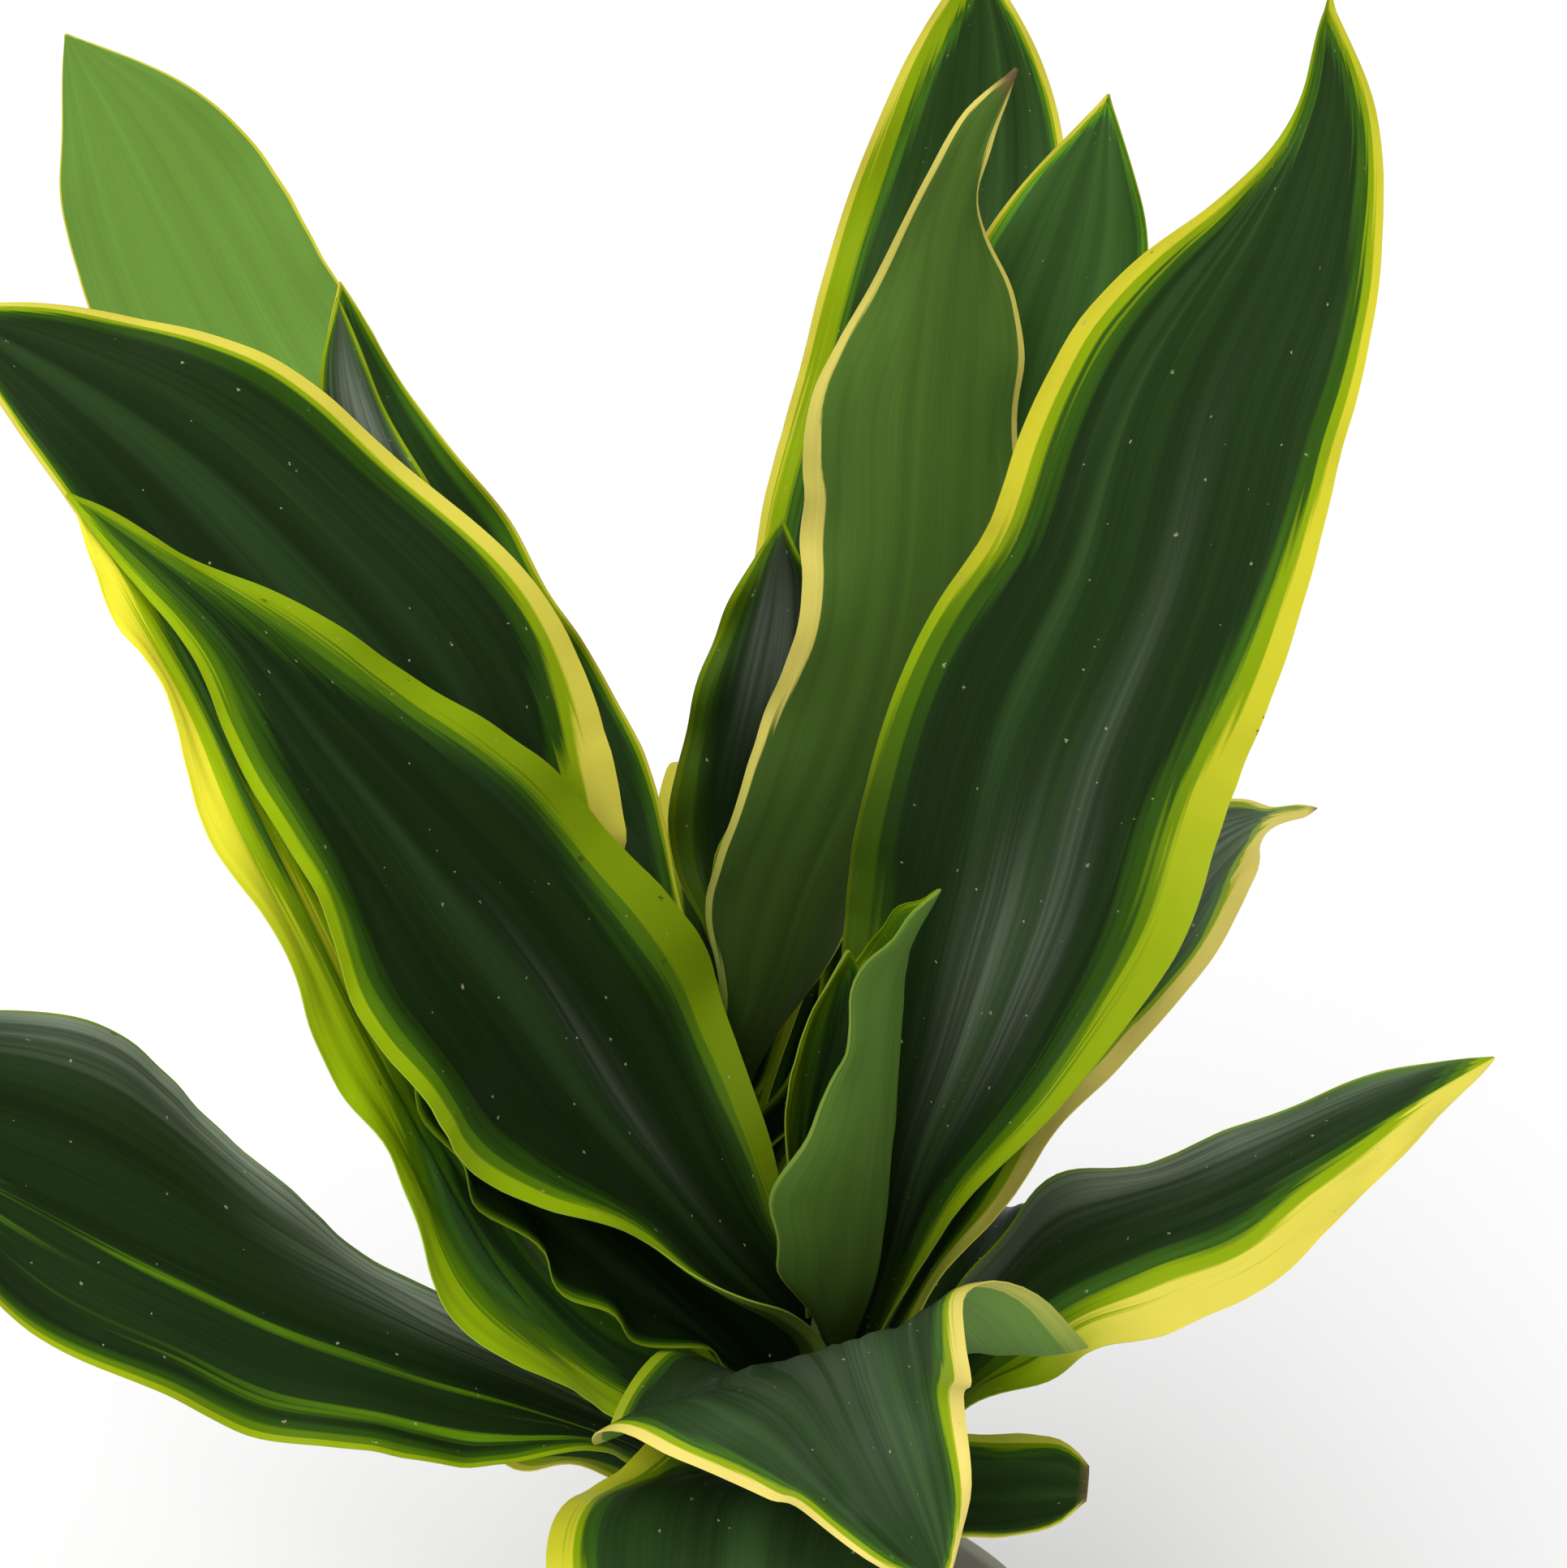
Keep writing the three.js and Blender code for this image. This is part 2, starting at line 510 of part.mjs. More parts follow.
const group = new THREE.Group();
add(group, "pot", makePot(), MATERIALS.pot);
add(group, "soil", makeSoil(), MATERIALS.soil);
for (const [name, cane] of Object.entries(CANES)) {
  add(group, `cane_${name}`, makeCane(cane), MATERIALS.cane);
}
for (const leaf of LEAVES) {
  add(group, leaf.name, makeLeaf({ ...LEAF_DEFAULTS, ...leaf }), MATERIALS.leaf);
}

export default group;
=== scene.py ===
"""The looks of a potted gold coast dracaena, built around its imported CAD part.

Lengths are named in millimetres, as in the part's source, and the meshes are made in metres.
The leaf blades repeat the part's own routes and widths in far finer steps.
"""

from math import ceil, cos, degrees, hypot, pi, radians, sin, sqrt
from types import SimpleNamespace

import bpy
import numpy as np
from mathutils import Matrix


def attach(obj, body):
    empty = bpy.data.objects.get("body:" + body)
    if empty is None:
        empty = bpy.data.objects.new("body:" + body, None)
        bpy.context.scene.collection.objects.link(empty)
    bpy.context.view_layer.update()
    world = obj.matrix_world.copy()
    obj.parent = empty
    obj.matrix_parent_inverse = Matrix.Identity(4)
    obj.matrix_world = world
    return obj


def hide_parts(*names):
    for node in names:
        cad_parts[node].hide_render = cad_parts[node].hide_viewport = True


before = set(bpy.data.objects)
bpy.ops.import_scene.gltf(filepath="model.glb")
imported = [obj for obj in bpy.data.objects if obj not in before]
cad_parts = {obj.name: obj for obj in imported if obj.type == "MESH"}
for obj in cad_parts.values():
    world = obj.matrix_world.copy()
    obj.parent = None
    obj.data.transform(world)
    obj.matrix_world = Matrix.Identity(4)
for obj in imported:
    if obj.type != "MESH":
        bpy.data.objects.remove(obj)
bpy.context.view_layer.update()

MM = 0.001
TURN = 2 * pi

# Picture: the photograph's viewing angle
PICTURE_WIDTH = 1931
FOCAL_PIXELS = 3605
SENSOR_WIDTH = 36
CAMERA_PLACE = (-1.7, -510, 676.3)
CAMERA_DOWN = 30
CAMERA_NEAREST = 20
CAMERA_FARTHEST = 50000

# Studio: the sun's tilt from straight down, its turn about the upright axis and its spread, in degrees
FLOOR_HALF_SIDE = 6000
SUN_TILT = 28
SUN_TURN = -25
SUN_SPREAD = 60
SUN_STRENGTH = 2.1
SKY_STRENGTH = 0.5

# Pot, as in the part
POT_HEIGHT = 125
POT_FOOT_RADIUS = 48
POT_NECK_RADIUS = 65.2
POT_BAND_HEIGHT = 22
POT_BAND_RADIUS = 68.6
POT_RIM_RADIUS = 70
POT_FLOOR = 4
POT_INNER_FOOT_RADIUS = 45.2
POT_INNER_RIM_RADIUS = 66.4
POT_SIDES = 160
DRAIN_HOLES = 5
DRAIN_RADIUS = 4.5
DRAIN_CIRCLE_RADIUS = 29
# Only in the looks
POT_FOOT_STEP = 4
POT_RIM_STEP = 8
POT_ROUNDING = 1.2
NEAR_AXIS = 0.01
SHARP_ANGLE = 50

# Soil and its loose crumbs
GAP = 0.35
SOIL_EDGE_HEIGHT = 112
SOIL_MIDDLE_HEIGHT = 116
SOIL_SETTLED = 1
SOIL_RINGS = 46
CRUMBS = 1100
CRUMB_LEAST = 0.5
CRUMB_SPREAD = 1.5
CRUMB_ROUGHNESS = 0.22

# Canes
CANES = {
    "front": SimpleNamespace(x=8, y=-20, top=262),
    "back": SimpleNamespace(x=-15, y=36, top=300),
}
CANE_FOOT_HEIGHT = 60
CANE_RADIUS = 9.5
CANE_TIP_RADIUS = 3
CANE_TAPER_LENGTH = 70
CANE_TAPER_POWER = 0.8
CANE_SIDES = 72
CANE_STEP = 0.6
# Leaf scars: a ridge with a groove above it, each with its height or depth and its width
SCAR_SPACING = (4.5, 7.5)
SCAR_TILT = (0.4, 1.1)
SCAR_RIDGE = (0.34, 0.45)
SCAR_GROOVE = (0.22, 0.7)
SCAR_GROOVE_ABOVE = 1.1
BARK_LOWEST = -0.5
BARK_HIGHEST = 0.33

# Leaf blades
SEAT_GAP = 0.55
HALF_THICKNESS = 0.38
BASE_EXTRA_THICKNESS = 0.22
BASE_THICK_SHARE = 0.35
MIDRIB_EXTRA_THICKNESS = 0.1
RIM_THINNING = 0.62
RIM_SHARE = 0.2
ROW_LENGTH = 2.4
MOST_CLASP = 95
SEGMENT_SAMPLES = 40

# Fine relief of a blade: soft folds along the veins that drift from side to side, ripples of the
# margins as pairs of wavelength and height, and a groove over the midrib
FOLD_SPACING = (7, 10)
FOLD_HEIGHT = 0.26
FOLD_DRIFT = 2.2
SMALL_FOLD_SPACING_SHARE = 0.43
SMALL_FOLD_HEIGHT = 0.12
RIPPLES = ((26, 0.5), (15, 0.3), (9, 0.14))
GROOVE_DEPTH = 0.3
GROOVE_WIDTH = 1.3

# Where the columns of a blade lie, as shares of the way from the midrib to the margin
COLUMN_SHARES = (
    0, 0.025, 0.055, 0.1, 0.16, 0.23, 0.3, 0.37, 0.44, 0.51, 0.58, 0.65, 0.71, 0.77,
    0.82, 0.87, 0.91, 0.945, 0.975, 1,
)

# What a leaf has unless its own line says otherwise. Left and right are seen from the cane to the tip,
# on its upper face.
# Shape, as in the part: roll and cup bend the blade, base, peak, fat, sharp and tip shape its outline,
# left and right move its margins out, and wave, waves and phase ripple it.
# Colouring at even places from the cane to the tip:
#   bands: left and right, the widths of the outer, middle and inner colour band
#   ripe: left and right, 0 for a green margin, 0.5 for a lime one and 1 for a yellow one
#   tone, lower_tone_and_painted_light: brightness of the upper and the lower face; the lower one is
#   partly painted, with painted shade towards the cane and a painted glow where light shines through
# One value for the leaf, or one for each side: cream fades the yellow, streaks is how many lime streaks
# run inside the bands, reach how far in they go, soft how clear the broad pale streaks are, gloss the
# shine, light a painted brightening of the whole leaf that lifts leaves lying in shade, and dry the
# withered share of the length. painted_sheen is painted sheen, grey patches that stand in for
# reflections: for each patch its middle (share of the length, then 1 on the left margin to -1 on the
# right one), how far it reaches each way, and how strong it is.
LEAF_DEFAULTS = dict(
    roll=(0, 0, 0, 0), cup=(30, 22, 18, 14), base=0.36, peak=0.48, fat=2, sharp=0.9, tip=0.012,
    left=(0, 0), right=(0, 0), wave=2.5, waves=5, phase=(0, 2),
    bands=((2.5, 3, 3), (2.5, 3, 3)), ripe=((0.5, 1, 1), (0.5, 1, 1)), cream=0.3, tone=(0.8, 1.1),
    lower_tone_and_painted_light=(0.7, 1), streaks=(0.15, 0.15), reach=14, soft=0.4, gloss=(0.04, 0.04), light=1, dry=0,
    painted_sheen=(),
)
# How a single set of band widths changes from the cane to the tip
BAND_SWELL = (0.45, 0.9, 1, 0.8, 0.5)
# Share of the length over which a withered tip begins, and how dark painted shade makes a leaf's foot and
# how far
DRY_BORDER = 0.02
FOOT_LIGHT = 0.5
FOOT_SHARE = 0.2

# Leaves: the front crown from its growing point downwards, then the back crown
LEAVES = {
    "bud_front": dict(height=259, azimuth=120, width=26,
        route=((6, 20), (7, 42), (6, 66, -2), (2, 93, -5)),
        cup=(80, 62, 44, 36), base=0.3, peak=0.6, tip=0.03, wave=0, bands=((3, 4, 3), (0.6, 1, 1)),
        ripe=((0.5, 0.4, 0.3), (0.3,)), cream=0, tone=(1.4, 1.8, 2), streaks=(0.3, 0), soft=0,
        gloss=(0.02, 0.02)),
    "leaf_front_young": dict(height=256, azimuth=-28, width=56,
        route=((10, 20), (12, 48), (13, 80), (15, 100), (23, 120)),
        left=(0, 0, 0, 0, -3, 2, 6, 5, 0, -2, 0), right=(0, 5, 8, 5, 0, -8, -14, -13, -9, -4, 0),
        cup=(84, 84, 74, 50), base=0.25, peak=0.5, wave=1, bands=((0.7, 5, 6), (0.7, 3, 3)),
        ripe=((0.5,), (0.5,)), cream=0, tone=(1.2, 2.4, 2.4), lower_tone_and_painted_light=(0.55, 0.7, 0.8), streaks=(0.3, 0.3),
        soft=1),
    "leaf_front_01": dict(height=252, azimuth=167, width=82,
        route=((6, 3), (24, 24), (48, 54, -2), (65, 82, -4), (87, 115, -2), (104, 139), (121, 161),
        (137, 175), (154, 187)),
        left=(0, 8, -4, 1, 12, 12, 1, -4, -5, -3, 0), right=(0, 0, -2, 0, -3, -1, -3, -4, -6, -6, 0),
        roll=(0, -15, -20, -36, -38), cup=(36, 32, 18, 14), base=0.3, peak=0.35, fat=1.5,
        bands=(((3, 3, 4), (5, 3, 5), (6, 3, 6), (5, 3, 5), (2.5, 2, 4), (1, 1, 1)),
            ((3, 3, 3), (6, 2, 3), (8, 2, 3), (7, 2, 3), (3.5, 2, 3), (1.5, 1, 1))),
        ripe=((0.2, 0.4, 0.5, 0.5, 0.5, 0.5), (0.04, 0.14, 0.2, 0.26, 0.3, 0.3)), cream=0,
        # light brightens this leaf with painted light
        tone=(0.56, 0.72, 0.8), light=1.25, streaks=(0.03, 0.03), soft=0.6, gloss=(0.03, 0.03),
        painted_sheen=((0.3, -0.1, 0.16, 0.08, 0.1),)),
    "leaf_front_02": dict(height=243, azimuth=36, width=78,
        route=((10, 6), (16, 21), (24, 47), (37, 73), (48, 102), (58, 138), (75, 171), (86, 210), (104, 239),
        (116, 265), (117, 284)),
        left=(0, 0, 0, 0, -1, -1, -3, -2, -5, -10, 0), right=(0, 0, -2, -4, -3, -2, -3, 2, 4, 3, 0),
        roll=(0, 22, 48, 55, 60, 30), cup=(34, 18, 16, 14), base=0.22, peak=0.42, fat=2.6, sharp=1, wave=2,
        bands=(((0.6, 4, 3), (0.6, 6, 3), (0.8, 6, 3), (3.5, 2.5, 4), (3, 1.5, 2), (0.5, 0.5, 1)),
            ((2, 2, 3), (5, 2, 4), (9, 2, 4), (4, 2.5, 3), (3, 1.5, 3), (1, 1, 1))),
        ripe=((0, 0, 0, 0.85, 1, 0.3), (0.4, 0.55, 0.62, 0.9, 1, 0.8)), cream=0.1,
        tone=(0.85, 1.15, 1.5, 1.6), streaks=(0.15, 0.2), reach=18, soft=1, gloss=(0.04, 0.06),
        painted_sheen=((0.3, 0.1, 0.1, 0.16, 0.36), (0.32, -0.25, 0.1, 0.1, 0.26), (0.5, -0.2, 0.2, 0.08, 0.15))),
    "leaf_front_03": dict(height=237, azimuth=179, width=38,
        route=((15, 5, -1), (32, 25, -2), (53, 48, -2), (69, 69, 3), (79, 85, 8), (84, 98, 10)),
        left=(0, 0, -2, 2, 6, 5, 2, 0, 0, 0, 0), right=(0, 8, 7, 1, 0, 0, 0, 0, 0, 0, 0),
        roll=(0, -6, -15, -28), base=0.55, bands=((0.8, 1, 1), (0.8, 1, 1)), ripe=((0.3,), (0.3,)), cream=0,
        tone=(0.7, 1), streaks=(0, 0), gloss=(0, 0)),
    "leaf_front_04": dict(height=233, azimuth=-78, width=86,
        route=((22, 29, -2), (40, 54, -7), (60, 69, -11), (78, 69, -11), (92, 60, -7), (101, 48, -1)),
        left=(0, 8, 20, 20, 5, -13, -18, -16, -10, -4, 0), right=(0, 8, 15, 14, 10, 9, 0, -8, -8, -5, 0),
        roll=(0, 2, -4, 6, 14, 12, 4), cup=(20, -16, -32, -20), base=0.2, peak=0.5, wave=8, waves=2.6,
        phase=(0, 5), bands=((4, 1.5, 1), (2.5, 1.5, 1)), ripe=((0.5, 0.5, 0.8, 1, 1), (0.5, 0.6, 1, 1)),
        cream=1, tone=(0.9, 1.5, 1.9), lower_tone_and_painted_light=(0.8, 1.5), streaks=(0.05, 0.1), reach=22, gloss=(0.1, 0.1),
        painted_sheen=((0.45, 0.1, 0.3, 0.6, 0.25),)),
    "leaf_front_05": dict(height=230, azimuth=45, width=46,
        route=((17, 16), (46, 49), (74, 73), (104, 87), (126, 94), (146, 94), (168, 88)),
        left=(0, 0, 0, 0, 0, 0, 0, -1, -4, -6, 0), right=(0, 0, -2, -4, -7, -5, -3, -2, -4, -6, 0),
        roll=(0, 10, 30, 30, 60), base=0.25, bands=((1.2, 1, 1), (5, 1, 1.5)), cream=0.9,
        tone=(0.6, 1.4, 1.4), streaks=(0, 0), painted_sheen=((0.8, 0.1, 0.25, 0.9, 0.5),), dry=0.02),
    "leaf_front_06": dict(height=226, azimuth=188, width=54,
        route=((24, 9, 4), (50, 27, 3), (70, 57, 2), (83, 87, -2), (94, 113, -8), (104, 138, -17),
        (114, 160, -28), (123, 180, -38), (133, 197, -48), (143, 211, -57)),
        left=(0, 0, -3, -2, -7, -13, -11, -6, -5, 0, 0), right=(0, 12, 4, -6, -12, -16, -16, -13, -5, 0, 0),
        roll=(0, -22, -28, -36), cup=(26, 12, 14, 14), base=0.2, peak=0.42,
        bands=(((6, 3, 4), (10, 4, 5), (11, 4, 5), (10, 4, 5), (8, 4, 4), (4, 3, 3)), (4, 3, 4)),
        # light brightens this leaf with painted light, as it lies in the crown's shade
        ripe=((0.5, 0.5, 0.5, 0.6, 1, 1), (0.4, 0.5, 0.6, 1, 1)), cream=0.1, tone=(1.1, 1.9, 1.8), light=1.5,
        streaks=(0.05, 0.1)),
    "leaf_front_07": dict(height=216, azimuth=195, width=64,
        route=((23, 3), (51, 26), (68, 40), (91, 58), (114, 76), (136, 96), (159, 116), (181, 132),
        (197, 140)),
        left=(0, 0, -3, -1, 0, -2, -3, -1, 0, 0, 0), right=(0, 0, -1, -6, -11, -10, -9, 1, 8, 9, 4),
        roll=(0, -15, -40, -50), cup=(10, -15, -20, -10), base=0.18, peak=0.6,
        bands=((1.3, 1, 1.5), (0.5, 0.5, 0.5)), ripe=((0.5, 0.6, 0.7), (0.4, 0.3, 0.3)), cream=0,
        tone=(0.8, 1.1, 1.1), soft=0.1, streaks=(0.7, 0), reach=34, gloss=(0.04, 0.06),
        painted_sheen=((0.62, -1, 0.35, 0.24, 1), (0.4, -0.7, 0.14, 0.4, 0.75))),
    "leaf_front_08": dict(height=214, azimuth=12, width=41,
        route=((24, 15), (38, 34), (53, 47), (69, 54), (87, 60), (105, 69), (128, 82), (148, 93)),
        left=(0, 0, 0, 2, 5, 0, -2, -2, -1, 0, 0), right=(0, 0, 0, 1, 0, -1, 0, -3, -3, -3, 0),
        roll=(0, 15, 35, 40), cup=(10, -15, -20, -10), base=0.3,
        bands=((0.5, 0.5, 1), ((4, 2, 3), (6, 3, 3), (8, 3, 3), (8, 3, 3), (5, 2, 2))),
        ripe=((0.2, 0.3, 0.4), (0.3, 0.5, 1, 1, 1)), cream=0.45, tone=(0.8, 1.6), streaks=(0, 0.3), reach=16,
        gloss=(0.05, 0.03), painted_sheen=((0.6, 0.95, 0.35, 0.34, 0.6),)),
    "leaf_front_09": dict(height=202, azimuth=-10, width=36,
        route=((20, 8), (38, 12), (58, 16)),
        left=(0, 0, 0, 0, 0, 0, 0, 1, 3, 5.5, 8), right=(0, 0, 0, -1, -2, -2.5, -2.5, -2, -1, 0, 1),
        base=0.3, fat=3, tip=0.03, wave=0, bands=((2, 2, 2), (1, 0.6, 1)), ripe=((0.7, 0.8), (1, 1)),
        cream=0.5, tone=(1.2, 1.9), streaks=(0, 0), dry=0.03),
    "leaf_front_10": dict(height=200, azimuth=-99, width=78,
        route=((22, 20, -2), (42, 50, -6), (60, 61, -10), (78, 57, -9), (91, 41, -7), (98, 17, -5)),
        left=(0, 0, -6, -6, 0, 4, 6, 5, 3, 0, 0), right=(0, 0, 5, 3, -4, -4, -2, 0, 0, 0, 0),
        roll=(0, -2, -2, 0), cup=(26, 4, -8, 0), base=0.16, peak=0.52, wave=5, waves=2.6, phase=(0, 3),
        bands=((3, 2, 2), (6, 3, 3)), ripe=((0.6, 1), (0.6, 1)), cream=0.1, tone=(1.2, 1.8),
        streaks=(0.5, 0.5), reach=34, painted_sheen=((0.3, 0.2, 0.2, 0.5, 0.2),)),
    "leaf_front_11": dict(height=193, azimuth=70, width=56,
        route=((30, 14), (66, 26), (104, 20), (136, -4)),
        base=0.3, wave=3, waves=4, bands=((4, 3, 3), (3, 4, 3))),
    "leaf_front_12": dict(height=196, azimuth=150, width=46,
        route=((28, 6), (60, 6), (92, -2), (108, -14)),
        base=0.3, wave=3, waves=3, bands=((3, 3, 3), (5, 4, 3))),
    "leaf_front_13": dict(height=190, azimuth=-48, width=54,
        route=((26, 2), (52, -6), (82, -28), (102, -62)),
        base=0.3, wave=3, waves=3, bands=((5, 4, 3), (3, 3, 3))),
    "leaf_front_14": dict(height=188, azimuth=-138, width=56,
        route=((28, 4), (58, 2), (90, -16), (116, -46)),
        base=0.3, wave=3, waves=3, bands=((3, 4, 3), (4, 3, 3))),
    "bud_back": dict(height=298, azimuth=60, width=16,
        route=((7, 16), (8, 34), (11, 54)),
        cup=(80, 70, 50, 40), base=0.4, wave=0, bands=((0.6, 1, 2), (0.6, 1, 2)), ripe=((0.5,), (0.5,)),
        tone=(1.6, 2.2)),
    "leaf_back_01": dict(height=290, azimuth=95, width=35,
        route=((12, 7, -5), (23, 16, -5), (35, 29, -4), (42, 46, -7), (48, 66, -12), (53, 85, -16),
        (56, 107, -18)),
        left=(0, 0, 0, 0, 0, -2, -2, -1, 0, 0, 0), roll=(0, -6, -20, -20), base=0.14, peak=0.52,
        bands=((1.5, 3, 3), (1.2, 1, 2)), ripe=((0.1, 0.1, 0.4), (0.1, 0.1, 0.4)), cream=0, tone=(0.6, 0.7),
        streaks=(0.25, 0.1), painted_sheen=((0.8, 0, 0.16, 0.4, 0.38),)),
    "leaf_back_02": dict(height=284, azimuth=-75, width=62,
        route=((11, 10, 1), (12, 29, 8), (10, 55, 17), (5, 82, 31), (-2, 115, 42), (-10, 159, 47),
        (-14, 192, 52), (-16, 210, 59), (-18, 223, 67)),
        left=(0, 0, 0, 0, 0, 0, 0, 0, 1, -6, 0), right=(0, 0, 3, 1, -5, -6, -4, 2, -5, -2, 0),
        cup=(24, 16, 14, 14), base=0.25, fat=1.7,
        bands=(((1, 1, 1), (1.2, 1, 1), (1.6, 1, 1), (0.6, 0.5, 0.5)),
            ((2, 1, 1), (2.5, 1, 1), (3, 1, 1), (5, 1, 1), (1.6, 1, 1), (0.8, 0.5, 0.5))),
        # Its lower face darkens towards the cane with painted shade
        cream=0.8, lower_tone_and_painted_light=(0.22, 0.34, 0.56, 0.78, 0.84, 0.76), tone=(0.7, 1.2), streaks=(0, 0), dry=0.03),
    "leaf_back_03": dict(height=286, azimuth=133, width=70,
        route=((12, 12, -4), (28, 27, -3), (56, 44, -1), (96, 61), (135, 86), (174, 114), (202, 142),
        (224, 168), (242, 188)),
        left=(0, 0, 0, 0, 0, 0, -1, -1, 3, 6, 0), roll=(0, 0, 40, 110, 130, 130), base=0.12, peak=0.65,
        # Its lower face is brightened by a painted glow of light shining through it
        bands=((1, 1, 1), (0.8, 1, 1)), cream=0.1, tone=(0.8, 1.6), lower_tone_and_painted_light=(0.8, 1.36, 1.36), streaks=(0, 0)),
    "leaf_back_04": dict(height=273, azimuth=70, width=66,
        route=((15, 2), (35, 33), (63, 69), (98, 104), (136, 133), (162, 166), (172, 198), (176, 224)),
        left=(0, 0, 0, 0, -4, -5, -5, -3, -1, 0, 0), right=(0, 0, 0, 0, 0, 0, 0, 0, 2, 3, 0),
        roll=(0, 5, 18, 18), base=0.2, peak=0.58, fat=2.4,
        bands=(((1, 3, 2), (1.5, 3, 2), (2, 3, 2), (3, 5, 2), (3, 6, 2), (2, 3, 2)), (2.6, 1, 1)),
        tone=(0.8, 1.6, 2.2, 2.4), streaks=(0.4, 0.1), reach=12),
    "leaf_back_05": dict(height=270, azimuth=147, width=38,
        route=((12, 16, 1), (20, 53, 4), (50, 75, -5), (78, 119), (93, 154), (98, 185)),
        right=(0, 0, 0, 2, 4, 4, 3, 5, 2, 0, 0), roll=(0, -26, -44, -40), base=0.12, peak=0.55,
        bands=((0.6, 1, 2), (0.6, 1, 2)), cream=0.2, tone=(0.8, 2, 2.6), streaks=(0, 0), soft=0),
    "leaf_back_06": dict(height=261, azimuth=32, width=48,
        route=((24, 11), (44, 62), (62, 108), (74, 152), (82, 181), (90, 208), (95, 236)),
        left=(0, 0, 0, 0, 0, 0, 2, 4, 6, 6, 0), right=(0, 0, 0, 0, 0, 0, 1, 2, 3, 3, 0),
        roll=(0, 20, 45, 45), base=0.24, peak=0.55, bands=((2.2, 1, 1), (0.6, 0.6, 1)),
        ripe=((0.5, 1, 1), (0.5,)), tone=(0.8, 3.4, 4.6), streaks=(0, 0), soft=0),
    "leaf_back_07": dict(height=257, azimuth=165, width=28,
        route=((20, 11, -2), (36, 48, 4), (50, 99, 14), (64, 140, 8), (75, 173, 5), (79, 192, 3),
        (80, 207, 1)),
        roll=(0, -42, -50, -45), base=0.18, peak=0.62, bands=((0.8, 0.6, 0.6), (1, 0.6, 0.6)),
        ripe=((0.5, 0.6), (0.5, 0.6)), cream=0, tone=(0.7, 1.6), streaks=(0, 0),
        painted_sheen=((0.86, -0.1, 0.1, 0.6, 0.9),)),
    "leaf_back_08": dict(height=250, azimuth=84, width=56,
        route=((26, 20), (58, 42), (96, 50), (136, 40), (166, 12)),
        base=0.22, wave=3, waves=4, bands=((3, 4, 3), (4, 3, 3))),
    "leaf_back_09": dict(height=247, azimuth=176, width=75,
        route=((20, 20, 6), (37, 51, 15), (47, 81, 21), (52, 114, 21), (65, 143, 15), (87, 169, 10),
        (108, 189, 6), (130, 205, 4), (155, 219, 2)),
        right=(0, 0, 0, 1, 2, 0, -3, -3, 0, 0, 0), roll=(0, -40, -60, -60), base=0.13, peak=0.55,
        bands=((2, 1, 1),
            ((3, 2, 2), (8, 3, 3), (8.5, 3, 4), (4.2, 2, 3), (1.8, 1.2, 1.5), (1.2, 0.8, 1))),
        cream=0.4, tone=(0.7, 1.3), streaks=(0.05, 0.05)),
    "leaf_back_10": dict(height=243, azimuth=56, width=54,
        route=((24, 14), (56, 34), (94, 42), (132, 32), (160, 4)),
        base=0.22, wave=3, waves=4, bands=((4, 3, 3), (3, 4, 3))),
    "leaf_back_11": dict(height=238, azimuth=177, width=32,
        route=((21, 13), (46, 44), (68, 76), (83, 99), (95, 122), (105, 144), (111, 165), (117, 186),
        (121, 205)),
        roll=(0, -15, -40, -50), base=0.3, bands=((3, 3, 3), (4, 1, 2)), cream=0.6, tone=(0.6, 1.2),
        streaks=(0.1, 0.1)),
    "leaf_back_12": dict(height=240, azimuth=124, width=60,
        route=((28, 20), (62, 42), (102, 52), (142, 40), (172, 8)),
        base=0.26, wave=3, waves=4, bands=((3, 4, 3), (5, 3, 3))),
    "leaf_back_13": dict(height=226, azimuth=76, width=56,
        route=((28, 8), (64, 16), (104, 8), (140, -20), (158, -54)),
        base=0.28, wave=3, waves=4, bands=((4, 4, 3), (3, 3, 3))),
    "leaf_back_14": dict(height=222, azimuth=146, width=52,
        route=((26, 8), (50, 6), (70, -10), (78, -34)),
        base=0.28, wave=3, waves=3, bands=((3, 3, 3), (4, 4, 3))),
}


# Small sums

def smooth(value):
    x = np.clip(value, 0, 1)
    return x * x * (3 - 2 * x)


def away_from_ends(height, share, base, tip):
    """The height along a leaf's middle, easing to 0 over these shares of its length at its two ends."""
    return height * smooth(share / base) * smooth((1 - share) / tip)


def unit(vectors):
    return vectors / np.linalg.norm(vectors, axis=-1, keepdims=True)


def along(values, share):
    """The value at a share of the way along evenly spaced stations, eased between them."""
    values = np.asarray(values, float)
    place = np.asarray(share) * (len(values) - 1)
    first = np.minimum(place.astype(int), len(values) - 2)
    f = place - first
    a = values[np.maximum(first - 1, 0)]
    b = values[first]
    c = values[first + 1]
    d = values[np.minimum(first + 2, len(values) - 1)]
    bend = 2 * a - 5 * b + 4 * c - d + f * (3 * (b - c) + d - a)
    return b + 0.5 * f * (c - a + f * bend)


def blend(t, start, end, first, second):
    """The way from first to second, where t is on its way from start to end."""
    return (end - t) / (end - start) * first + (t - start) / (end - start) * second


